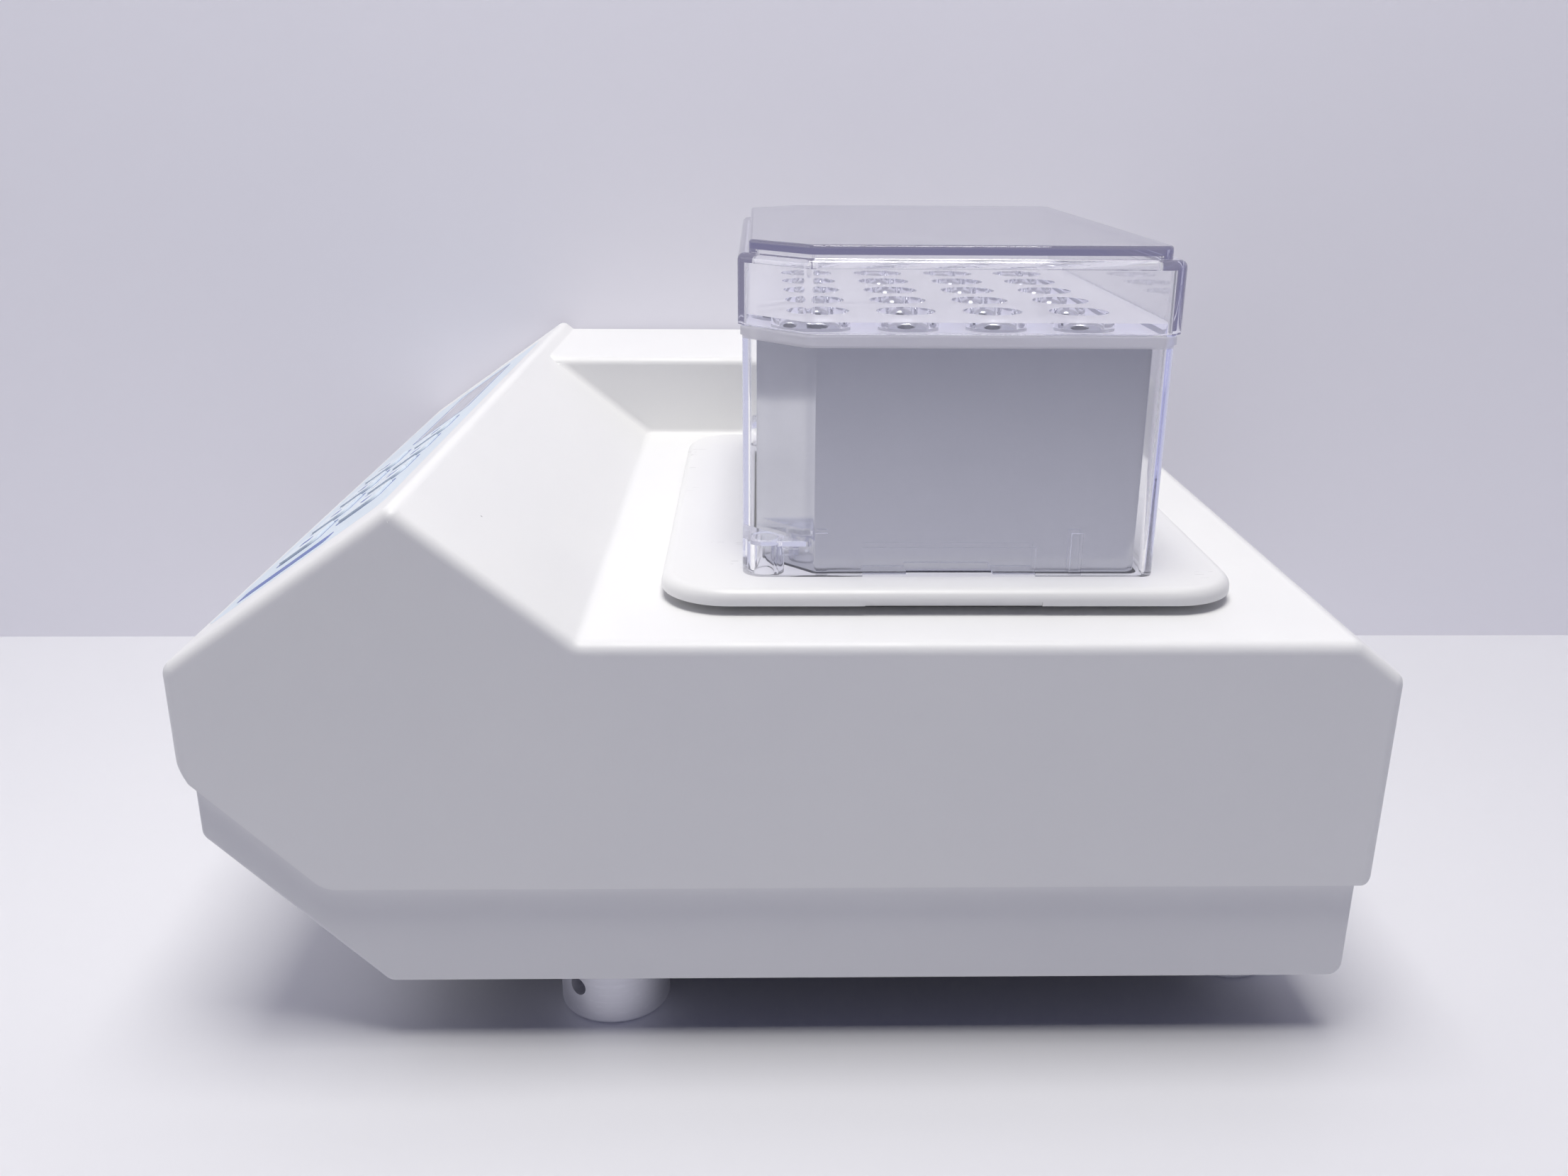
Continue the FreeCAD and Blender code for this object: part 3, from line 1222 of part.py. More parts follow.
def power_rocker():
    """Dished rocker, stored tipped to one side; it swings about an upright axis."""
    x, z = pocket_x, POCKET_Z + SWITCH_RISE
    face = back - POCKET_DEPTH + SWITCH_BEZEL_T
    half = SWITCH_BODY_W / 2 - SWITCH_WALL - ROCKER_GAP
    half_h = SWITCH_BODY_H / 2 - SWITCH_WALL - ROCKER_GAP / 2
    heel = face - ROCKER_DEPTH / 2
    tip = face + ROCKER_PROUD
    points = [(x - half, heel, 0), (x, face - ROCKER_DEPTH, 0), (x + half, heel, 0),
              (x + half, tip, 0), (x, tip - ROCKER_DISH, 0), (x - half, tip, 0)]
    solid = prism_z(points, z - half_h, z + half_h)
    pivot_y = face - SWITCH_BEZEL_T
    reach = half_h + ROCKER_PIN_LENGTH
    solid = solid.fuse(disc(x, pivot_y, z - reach, z + reach, ROCKER_PIN_R)).removeSplitter()
    solid.rotate(FreeCAD.Vector(x, pivot_y, z), Z_AXIS, ROCKER_TILT)
    return solid


def power_board():
    """Mains circuit board on the tray's posts."""
    z0 = floor_z + POWER_BOARD_RISE
    outer = rectangle(board_x, POWER_BOARD_Y, POWER_BOARD_W / 2, POWER_BOARD_L / 2, 0)
    return prism_z(outer, z0, z0 + BOARD_T)


def power_transformer():
    """Transformer on the power board: core, bobbin flanges and winding."""
    z0 = floor_z + POWER_BOARD_RISE + BOARD_T
    y0 = POWER_BOARD_Y - TRANSFORMER_L / 2
    half = TRANSFORMER_W / 2
    core = block(board_x - half, board_x + half, y0, y0 + TRANSFORMER_L, z0, z0 + TRANSFORMER_H)
    window = block(board_x - half, board_x + half, y0 + TRANSFORMER_FLANGE,
                   y0 + TRANSFORMER_L - TRANSFORMER_FLANGE, z0 + TRANSFORMER_FLANGE,
                   z0 + TRANSFORMER_H - TRANSFORMER_FLANGE)
    winding = block(board_x - half + TRANSFORMER_FLANGE, board_x + half - TRANSFORMER_FLANGE,
                    y0 + TRANSFORMER_FLANGE, y0 + TRANSFORMER_L - TRANSFORMER_FLANGE,
                    z0 + TRANSFORMER_FLANGE, z0 + TRANSFORMER_H - TRANSFORMER_FLANGE)
    return core.cut(window).fuse(winding)


def power_capacitors():
    """Row of capacitors in front of the transformer."""
    z0 = floor_z + POWER_BOARD_RISE + BOARD_T
    y = POWER_BOARD_Y - POWER_BOARD_L / 4
    return group([disc(board_x + (index - 1) * CAPACITOR_PITCH, y, z0, z0 + CAPACITOR_H, CAPACITOR_R)
                  for index in range(3)])


# Write every piece
os.makedirs("parts", exist_ok=True)
save("top_cover", top_cover())
save("base_tray", base_tray())
save("case_screws", case_screws())
for number, (x, y) in enumerate(feet, 1):
    save("foot_%d" % number, foot(x, y))
    save("foot_stud_%d" % number, foot_stud(x, y))
save("chassis_plate", chassis_plate())
save("mechanism_screws", mechanism_screws())
save("drive_motor", drive_motor())
save("motor_shaft", motor_shaft())
save("drive_crank", drive_crank())
save("idler_bushes", group([idler_bush(x, y) for x, y in idlers]))
for number, (x, y) in enumerate(idlers, 1):
    save("idler_crank_%d" % number, idler_crank(x, y))
save("carriage", carriage())
save("drive_bearing", drive_bearing())
save("idler_bearings", idler_bearings())
save("surround_frame", surround_frame())
save("insulation_board", insulation_board())
save("heater_mat", heater_mat())
save("heater_plate", heater_plate())
save("heater_standoffs", heater_standoffs())
save("temperature_sensor", sensor_rod(SENSOR_R))
save("thermal_cutout", thermal_cutout())
save("platform_plate", platform_plate())
save("tube_block", tube_block())
save("block_screws", block_screws())
save("tube_rack", rack())
save("rack_lid", lid())
save("keypad_foil", keypad_foil())
save("display_window", display_window())
save("display_module", display_module())
save("control_board", control_board())
save("board_screws", board_screws())
save("key_switches", key_switches())
for number, (x, v) in enumerate(keys(), 1):
    save("key_%d" % number, key(x, v))
save("power_inlet", power_inlet())
save("inlet_pins", inlet_pins())
save("fuse_drawer", fuse_drawer())
save("switch_housing", switch_housing())
save("power_rocker", power_rocker())
save("power_board", power_board())
save("power_transformer", power_transformer())
save("power_capacitors", power_capacitors())
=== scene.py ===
"""Looks of the dry block heater: finishes, printed panel marks, studio and camera."""
import json
import logging
import math
from dataclasses import dataclass
from enum import Enum

import bpy
from mathutils import Matrix, Vector


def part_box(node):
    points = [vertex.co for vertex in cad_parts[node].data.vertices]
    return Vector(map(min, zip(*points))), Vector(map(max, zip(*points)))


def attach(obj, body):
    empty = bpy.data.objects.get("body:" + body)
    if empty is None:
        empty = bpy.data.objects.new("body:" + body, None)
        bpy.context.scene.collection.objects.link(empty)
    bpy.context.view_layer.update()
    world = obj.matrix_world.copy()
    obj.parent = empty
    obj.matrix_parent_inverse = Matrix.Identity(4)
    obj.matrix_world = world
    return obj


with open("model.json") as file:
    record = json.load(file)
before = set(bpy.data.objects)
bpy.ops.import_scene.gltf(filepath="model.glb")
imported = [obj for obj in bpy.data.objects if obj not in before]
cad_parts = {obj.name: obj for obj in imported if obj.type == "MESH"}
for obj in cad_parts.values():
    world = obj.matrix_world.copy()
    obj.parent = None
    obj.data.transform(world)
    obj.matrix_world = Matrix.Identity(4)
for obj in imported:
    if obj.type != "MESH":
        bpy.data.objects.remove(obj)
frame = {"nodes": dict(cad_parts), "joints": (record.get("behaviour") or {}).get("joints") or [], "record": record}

log = logging.getLogger("dry_block_heater")

Colour = Point = tuple[float, float, float]
Span = tuple[float, float]
Socket = bpy.types.NodeSocket

MM = 0.001
MICRON = 0.000001
UNIT = (0.0, 1.0)
IMAGE_WIDTH = 2212
SENSOR_WIDTH = 36.0
PLASTIC_IOR = 1.47
FILM_IOR = 1.5
CLEAR_IOR = 1.46
# Least share of a normal along Z on a face that counts as level.
LEVEL = 0.9


class Axis(Enum):
    """Direction that a pattern follows on a piece, or that a plane crosses."""

    X = 0
    Y = 1
    Z = 2


class Sign(Enum):
    """Printed sign on a key."""

    UP = "up"
    DOWN = "down"
    START = "start"
    STOP = "stop"


# Node building


class Tree:
    """A node tree with short ways to add and join nodes."""

    def __init__(self, tree: bpy.types.NodeTree) -> None:
        """Keep the tree that nodes go into.

        Args:
            tree: node tree of a material, a world or a group.
        """
        self.tree = tree

    def add(self, kind: str, **settings: object) -> bpy.types.Node:
        """Add one node.

        Args:
            kind: node type, such as ShaderNodeMath.
            settings: properties of the node; a name that is an input socket sets that socket.

        Returns:
            The new node.
        """
        node = self.tree.nodes.new(kind)
        for name, value in settings.items():
            label = name.replace("_", " ")
            if hasattr(node, name):
                setattr(node, name, value)
            else:
                self.give(next(s for s in node.inputs if s.name.lower() == label.lower()), value)
        return node

    def join(self, start: Socket, end: Socket) -> None:
        """Link an output socket to an input socket."""
        self.tree.links.new(start, end)

    def give(self, socket: Socket, value: object) -> None:
        """Give an input socket a number, a colour or a link."""
        if isinstance(value, Socket):
            self.join(value, socket)
        elif socket.type == "RGBA":
            socket.default_value = (*value, 1.0)
        else:
            socket.default_value = value

    def math(self, operation: str, first: object, second: object = 0.0) -> Socket:
        """Add a math node.

        Args:
            operation: name of the operation.
            first: number or output socket.
            second: number or output socket.

        Returns:
            The result's socket.
        """
        node = self.add("ShaderNodeMath", operation=operation)
        for socket, value in zip(node.inputs, (first, second)):
            self.give(socket, value)
        return node.outputs[0]

    def sum(self, *terms: tuple[Socket, float]) -> Socket:
        """Add two values, each times its share.

        Args:
            terms: the two output sockets, each with its share.

        Returns:
            The result's socket.
        """
        return self.math("ADD", *(self.math("MULTIPLY", *term) for term in terms))

    def ramp(self, value: Socket, start: Span = UNIT, end: Span = UNIT) -> Socket:
        """Map a stretch of a value to another stretch.

        Args:
            value: socket to read.
            start: ends of the stretch that is read.
            end: results at those ends.

        Returns:
            The result's socket.
        """
        node = self.add("ShaderNodeMapRange", Value=value, From_Min=start[0], From_Max=start[1],
                        To_Min=end[0], To_Max=end[1])
        return node.outputs["Result"]

    def mix(self, share: Socket, first: object, second: object) -> Socket:
        """Mix two colours.

        Args:
            share: share of the second colour.
            first: colour or output socket.
            second: colour or output socket.

        Returns:
            The mixed colour's socket.
        """
        node = self.add("ShaderNodeMix", data_type="RGBA")
        self.join(share, node.inputs["Factor"])
        for name, value in (("A", first), ("B", second)):
            self.give(next(s for s in node.inputs if s.name == name and s.type == "RGBA"), value)
        return next(s for s in node.outputs if s.type == "RGBA")

    def choose(self, share: object, first: Socket, second: Socket) -> Socket:
        """Mix two shaders.

        Args:
            share: share of the second shader, as a number or an output socket.
            first: socket of a shader.
            second: socket of a shader.

        Returns:
            The mixed shader's socket.
        """
        node = self.add("ShaderNodeMixShader")
        for socket, value in zip(node.inputs, (share, first, second)):
            self.give(socket, value)
        return node.outputs["Shader"]

    def noise(self, vector: Socket, scale: object, detail: float = 2.0) -> Socket:
        """Add a noise texture.

        Args:
            vector: coordinates to read.
            scale: number or output socket.
            detail: number of finer layers.

        Returns:
            The noise value's socket.
        """
        node = self.add("ShaderNodeTexNoise", Vector=vector, Scale=scale, Detail=detail)
        return node.outputs["Fac"]

    def mapped(self, vector: Socket, stretch: Point, turn: Point = (0.0, 0.0, 0.0)) -> Socket:
        """Scale coordinates apart along each axis, and turn them.

        Args:
            vector: coordinates to read.
            stretch: factor on each axis.
            turn: angle about each axis.

        Returns:
            The new coordinates' socket.
        """
        node = self.add("ShaderNodeMapping", Vector=vector, Scale=stretch, Rotation=turn)
        return node.outputs["Vector"]


class Effects:
    """Shader node groups that several finishes share."""

    COARSE_GRAIN = 0.31
    FINE_SHARE = 0.7
    SOFT_SPAN = (0.3, 0.7)
    WIPE_STRETCH = (1.0, 2.4, 0.7)
    WIPE_SCALE = 2.3
    WIPE_SPAN = (0.32, 0.68)
    HAIRLINE_TURNS = (0.5, 1.9, 2.7)
    HAIRLINE_TILT = (1.0, 0.6, 1.3)
    HAIRLINE_STRETCH = (1.0, 0.03, 1.0)
    HAIRLINE_SPAN = (0.74, 0.80)
    WOBBLE_SCALE = 240.0
    WOBBLE = 0.8
    STREAK_SCALE = 0.7

    def __init__(self) -> None:
        """Build each group once."""
        self.moulding = self._moulding()
        self.specks = self._specks()
        self.hairlines = self._hairlines()
        self.turning = self._turning()

    @staticmethod
    def _group(name: str, vectors: list[str], values: list[str],
               outputs: list[str]) -> tuple[Tree, dict[str, Socket], dict[str, Socket]]:
        """Start a group.

        Args:
            name: name of the group.
            vectors: names of the vector inputs.
            values: names of the value inputs.
            outputs: names of the value outputs.

        Returns:
            The tree, its input sockets by name and its output sockets by name.
        """
        group = bpy.data.node_groups.new(name, "ShaderNodeTree")
        sockets = [(label, "INPUT", "NodeSocketVector") for label in vectors]
        sockets += [(label, "INPUT", "NodeSocketFloat") for label in values]
        sockets += [(label, "OUTPUT", "NodeSocketFloat") for label in outputs]
        for label, way, kind in sockets:
            group.interface.new_socket(label, in_out=way, socket_type=kind)
        tree = Tree(group)
        start = tree.add("NodeGroupInput")
        end = tree.add("NodeGroupOutput")
        return tree, {s.name: s for s in start.outputs}, {s.name: s for s in end.inputs}

    def _moulding(self) -> bpy.types.NodeTree:
        """Build the grain of a moulded or blasted surface, with slow cloudy changes of tone."""
        tree, take, give = self._group("moulded_grain", ["Vector"], ["Grain", "Cloud"],
                                       ["Height", "Tone", "Gloss"])
        fine = tree.noise(take["Vector"], take["Grain"], 3.0)
        coarse_scale = tree.math("MULTIPLY", take["Grain"], self.COARSE_GRAIN)
        coarse = tree.noise(take["Vector"], coarse_scale, 1.0)
        height = tree.sum((fine, self.FINE_SHARE), (coarse, 1.0 - self.FINE_SHARE))
        tree.join(height, give["Height"])
        cloud = tree.noise(take["Vector"], take["Cloud"], 4.0)
        tree.join(tree.ramp(cloud, self.SOFT_SPAN), give["Tone"])
        wipe = tree.noise(tree.mapped(take["Vector"], self.WIPE_STRETCH),
                          tree.math("MULTIPLY", take["Cloud"], self.WIPE_SCALE), 5.0)
        tree.join(tree.ramp(wipe, self.WIPE_SPAN), give["Gloss"])
        return tree.tree

    def _specks(self) -> bpy.types.NodeTree:
        """Build small scattered dots, such as dust and pits."""
        tree, take, give = self._group("scattered_specks", ["Vector"],
                                       ["Density", "Radius", "Share"], ["Mask"])
        cells = tree.add("ShaderNodeTexVoronoi", feature="F1", Vector=take["Vector"],
                         Scale=take["Density"])
        near = tree.math("LESS_THAN", cells.outputs["Distance"], take["Radius"])
        parts = tree.add("ShaderNodeSeparateColor", Color=cells.outputs["Color"])
        chosen = tree.math("LESS_THAN", parts.outputs[0], take["Share"])
        tree.join(tree.math("MULTIPLY", near, chosen), give["Mask"])
        return tree.tree

    def _hairlines(self) -> bpy.types.NodeTree:
        """Build fine straight scratches from handling."""
        tree, take, give = self._group("hairlines", ["Vector"], ["Density"], ["Mask"])
        mask = 0.0
        for angle in self.HAIRLINE_TURNS:
            turn = tuple(angle * share for share in self.HAIRLINE_TILT)
            lines = tree.mapped(take["Vector"], self.HAIRLINE_STRETCH, turn)
            streak = tree.noise(lines, take["Density"], 0.0)
            mask = tree.math("MAXIMUM", mask, tree.ramp(streak, self.HAIRLINE_SPAN))
        tree.join(mask, give["Mask"])
        return tree.tree

    def _turning(self) -> bpy.types.NodeTree:
        """Build tool lines along one axis, as turning and milling leave them."""
        tree, take, give = self._group("tool_lines", ["Vector", "Across"], ["Pitch"],
                                       ["Height", "Streak"])
        dot = tree.add("ShaderNodeVectorMath", operation="DOT_PRODUCT")
        tree.join(take["Vector"], dot.inputs[0])
        tree.join(take["Across"], dot.inputs[1])
        along = tree.math("DIVIDE", dot.outputs["Value"], take["Pitch"])
        wobble = tree.noise(take["Vector"], self.WOBBLE_SCALE)
        phase = tree.math("ADD", along, tree.math("MULTIPLY", wobble, self.WOBBLE))
        wave = tree.math("SINE", tree.math("MULTIPLY", phase, 2 * math.pi))
        tree.join(wave, give["Height"])
        line = tree.add("ShaderNodeTexNoise", noise_dimensions="1D", W=along, Detail=4.0,
                        Scale=self.STREAK_SCALE)
        tree.join(tree.ramp(line.outputs["Fac"], self.SOFT_SPAN), give["Streak"])
        return tree.tree


# Finishes


class Finish:
    """A material being dressed: its tree, its shader and its object coordinates."""

    def __init__(self, name: str) -> None:
        """Start an empty material with one shader.

        Args:
            name: name of the finish.
        """
        self.material = bpy.data.materials.new(name)
        self.material.use_nodes = True
        self.material.node_tree.nodes.clear()
        self.material.cycles.emission_sampling = "NONE"
        self.tree = Tree(self.material.node_tree)
        self.shader = self.tree.add("ShaderNodeBsdfPrincipled")
        self.output = self.tree.add("ShaderNodeOutputMaterial")
        self.coordinates = self.tree.add("ShaderNodeTexCoord").outputs
        self.show(self.shader.outputs["BSDF"])

    def show(self, shader: Socket) -> None:
        """Make a shader the one that is seen."""
        self.tree.join(shader, self.output.inputs["Surface"])

    def upward(self) -> Socket:
        """Read how far each face looks up, from -1 to 1."""
        parts = self.tree.add("ShaderNodeSeparateXYZ", Vector=self.coordinates["Normal"])
        return parts.outputs["Z"]

    def between(self, axis: Axis, low: float, high: float) -> Socket:
        """Mask the surface between two planes of the part's frame.

        Args:
            axis: axis that the planes cross.
            low: lower plane in metres.
            high: upper plane in metres.

        Returns:
            The mask's socket.
        """
        parts = self.tree.add("ShaderNodeSeparateXYZ", Vector=self.coordinates["Object"])
        above = self.tree.math("GREATER_THAN", parts.outputs[axis.name], low)
        below = self.tree.math("LESS_THAN", parts.outputs[axis.name], high)
        return self.tree.math("MULTIPLY", above, below)

    def effect(self, group: bpy.types.NodeTree, **values: object) -> bpy.types.NodeOutputs:
        """Place a shared group on the object's coordinates.

        Args:
            group: one of the shared groups.
            values: its inputs.

        Returns:
            The group's outputs.
        """
        node = self.tree.add("ShaderNodeGroup", node_tree=group)
        self.tree.join(self.coordinates["Object"], node.inputs["Vector"])
        for name, value in values.items():
            node.inputs[name].default_value = value
        return node.outputs

    def gloss(self, pattern: Socket, middle: float, uneven: Span) -> Socket:
        """Spread a pattern over a stretch of roughness.

        Args:
            pattern: pattern from 0 to 1.
            middle: middle roughness.
            uneven: how far the stretch goes down and up from there.

        Returns:
            The roughness socket.
        """
        return self.tree.ramp(pattern, end=(middle + uneven[0], middle + uneven[1]))

    def feed(self, socket: str, value: object) -> None:
        """Give one of the shader's sockets a number, a colour or a link."""
        self.tree.give(self.shader.inputs[socket], value)

    def bump(self, height: Socket, depth: float, strength: float = 1.0) -> None:
        """Raise the surface by a height pattern.

        Args:
            height: pattern from 0 to 1.
            depth: height of the pattern in metres.
            strength: share of the effect.
        """
        node = self.tree.add("ShaderNodeBump", Strength=strength, Distance=depth, Height=height)
        self.feed("Normal", node.outputs["Normal"])


@dataclass(frozen=True)
class Recipe:
    """What a finish is made of.

    Attributes:
        name: name of the finish.
    """

    name: str

    def make(self, effects: Effects) -> bpy.types.Material:
        """Build the material.

        Args:
            effects: shared node groups.

        Returns:
            The material.
        """
        finish = Finish(self.name)
        self.dress(finish, finish.tree, effects)
        return finish.material

    def dress(self, finish: Finish, tree: Tree, effects: Effects) -> None:
        """Feed the material's shader, each kind of finish in its own way."""
        raise NotImplementedError


@dataclass(frozen=True)
class MouldedPlastic(Recipe):
    """Opaque moulded plastic with a fine grain, cloudy tone and a few dark specks.

    Attributes:
        colour: colour of the plastic.
        shade: colour in the darker clouds.
        roughness: middle roughness.
        grain: number of grains in a metre.
        underside_shade: painted shade on the faces that look down, as a share of the shade colour.
    """

    CLOUD = 14.0
    DEPTH = 12 * MICRON
    SPECKS = {"Density": 95.0, "Radius": 0.022, "Share": 0.02}
    SPECK_TONE = 0.45
    SCRATCHES = 1500.0
    POLISH = 0.04
    UNEVEN = (-0.05, 0.06)

    colour: Colour
    shade: Colour
    roughness: float = 0.42
    grain: float = 3600.0
    underside_shade: float = 1.0

    def dress(self, finish: Finish, tree: Tree, effects: Effects) -> None:
        """Mix the clouds, the painted shade on the underside, the specks and the wear."""
        skin = finish.effect(effects.moulding, Grain=self.grain, Cloud=self.CLOUD)
        speck = finish.effect(effects.specks, **self.SPECKS)["Mask"]
        wear = finish.effect(effects.hairlines, Density=self.SCRATCHES)["Mask"]
        body = tree.mix(skin["Tone"], self.shade, self.colour)
        # Faces that look down take a flat darker colour: painted shade that deepens the shadow beneath.
        below = tree.math("LESS_THAN", finish.upward(), -LEVEL)
        base = tuple(self.underside_shade * c for c in self.shade)
        dirt = tuple(self.SPECK_TONE * c for c in self.shade)
        finish.feed("Base Color", tree.mix(speck, tree.mix(below, body, base), dirt))
        gloss = finish.gloss(skin["Gloss"], self.roughness, self.UNEVEN)
        worn = tree.math("SUBTRACT", gloss, tree.math("MULTIPLY", wear, self.POLISH))
        finish.feed("Roughness", worn)
        finish.feed("IOR", PLASTIC_IOR)
        finish.bump(skin["Height"], self.DEPTH)


@dataclass(frozen=True)
class PrintedFoil(Recipe):
    """Satin film with a printed ground colour and a fine film texture.

    Attributes:
        colour: printed colour.
        deep: colour where the ink lies thicker.
        roughness: middle roughness.
    """

    GRAIN = 5200.0
    DEPTH = 6 * MICRON
    CLOUD = 26.0
    CLOUD_INK = 0.45
    DOTS = {"Density": 2600.0, "Radius": 0.34, "Share": 0.8}
    DOT_INK = 0.35
    SCRATCHES = 520.0
    HAZE = 0.1
    UNEVEN = (-0.05, 0.07)

    colour: Colour
    deep: Colour
    roughness: float = 0.36

    def dress(self, finish: Finish, tree: Tree, effects: Effects) -> None:
        """Mix the print dots, the clouds in the ink and the wear."""
        skin = finish.effect(effects.moulding, Grain=self.GRAIN, Cloud=self.CLOUD)
        dots = finish.effect(effects.specks, **self.DOTS)["Mask"]
        wear = finish.effect(effects.hairlines, Density=self.SCRATCHES)["Mask"]
        ink = tree.sum((dots, self.DOT_INK), (skin["Tone"], self.CLOUD_INK))
        finish.feed("Base Color", tree.mix(ink, self.colour, self.deep))
        gloss = finish.gloss(skin["Gloss"], self.roughness, self.UNEVEN)
        finish.feed("Roughness", tree.math("ADD", gloss, tree.math("MULTIPLY", wear, self.HAZE)))
        finish.feed("IOR", FILM_IOR)
        finish.bump(skin["Height"], self.DEPTH)


@dataclass(frozen=True)
class ClearPlastic(Recipe):
    """Clear moulded plastic, faintly violet through its length, with a soft flow pattern, a painted glow at its
    edges and painted sheen on chosen faces.

    Attributes:
        tint: colour that long light paths take.
        density: strength of that colour, per metre.
        roughness: middle roughness.
        painted_edge_glow: colour of a painted glow that stands in for the light caught inside the walls, where it
            leaves at their edges.
        painted_sheen: share of white scattering painted on the level faces, as painted sheen.
        painted_sheen_span: heights between which level faces carry the painted sheen.
        rim_highlight: share of white scattering painted on the rim, as a painted highlight band.
        rim_highlight_span: heights between which every face carries the painted highlight.
    """

    GRAIN = 900.0
    CLOUD = 18.0
    WAVE = 20 * MICRON
    WAVE_SHARE = 0.2
    BODY = (0.985, 0.985, 0.99)
    SHADOW = (0.93, 0.93, 0.96)
    # White of the painted sheen and highlight, and the share of it that passes through.
    SHEEN_WHITE = (0.92, 0.91, 0.90)
    SHEEN_THROUGH = 0.4
    # Crossings and reflections after which the walls glow with painted light, in place of the light caught inside
    # them.
    MOST_WALLS = 7.5
    MOST_ECHOES = 2.5

    tint: Colour
    density: float
    roughness: float = 0.03
    painted_edge_glow: Colour = (0.46, 0.46, 0.58)
    painted_sheen: float = 0.0
    painted_sheen_span: Span = (0.0, 0.0)
    rim_highlight: float = 0.0
    rim_highlight_span: Span = (0.0, 0.0)

    def dress(self, finish: Finish, tree: Tree, effects: Effects) -> None:
        """Join the clear body, the painted glow at its edges, the painted sheen and highlight, and the tint."""
        skin = finish.effect(effects.moulding, Grain=self.GRAIN, Cloud=self.CLOUD)
        finish.feed("Base Color", self.BODY)
        finish.feed("Transmission Weight", 1.0)
        finish.feed("IOR", CLEAR_IOR)
        half = self.roughness / 2
        finish.feed("Roughness", finish.gloss(skin["Gloss"], self.roughness, (-half, half)))
        finish.bump(skin["Tone"], self.WAVE, self.WAVE_SHARE)
        light = tree.add("ShaderNodeLightPath").outputs
        far = tree.math("GREATER_THAN", light["Ray Depth"], self.MOST_WALLS)
        echoed = tree.math("GREATER_THAN", light["Glossy Depth"], self.MOST_ECHOES)
        # Painted glow, in place of the light that is caught inside the walls.
        painted_edge_glow = tree.add("ShaderNodeEmission", Color=self.painted_edge_glow, Strength=1.0).outputs["Emission"]
        seen = tree.choose(tree.math("MAXIMUM", far, echoed), finish.shader.outputs["BSDF"], painted_edge_glow)
        # Painted sheen on the plate's level faces and a painted highlight band on the rim.
        if self.painted_sheen or self.rim_highlight:
            seen = tree.choose(self._painted_sheen_faces(finish, tree), seen, self._painted_sheen_shader(tree))
        clear = tree.add("ShaderNodeBsdfTransparent", Color=self.SHADOW).outputs["BSDF"]
        soft = tree.math("MAXIMUM", light["Is Shadow Ray"], light["Is Diffuse Ray"])
        finish.show(tree.choose(soft, seen, clear))
        depth = tree.add("ShaderNodeVolumeAbsorption", Color=self.tint, Density=self.density)
        tree.join(depth.outputs["Volume"], finish.output.inputs["Volume"])

    def _painted_sheen_faces(self, finish: Finish, tree: Tree) -> Socket:
        """Share of painted sheen on the level faces and of the painted highlight band on the rim."""
        level = tree.math("GREATER_THAN", tree.math("ABSOLUTE", finish.upward()), LEVEL)
        plate = tree.math("MULTIPLY", finish.between(Axis.Z, *self.painted_sheen_span), level)
        rim_highlight = finish.between(Axis.Z, *self.rim_highlight_span)
        return tree.math("MAXIMUM", tree.math("MULTIPLY", plate, self.painted_sheen),
                         tree.math("MULTIPLY", rim_highlight, self.rim_highlight))

    def _painted_sheen_shader(self, tree: Tree) -> Socket:
        """White shader of the painted sheen and highlight, scattering light to both sides of a face."""
        back = tree.add("ShaderNodeBsdfDiffuse", Color=self.SHEEN_WHITE).outputs["BSDF"]
        through = tree.add("ShaderNodeBsdfTranslucent", Color=self.SHEEN_WHITE).outputs["BSDF"]
        return tree.choose(self.SHEEN_THROUGH, back, through)


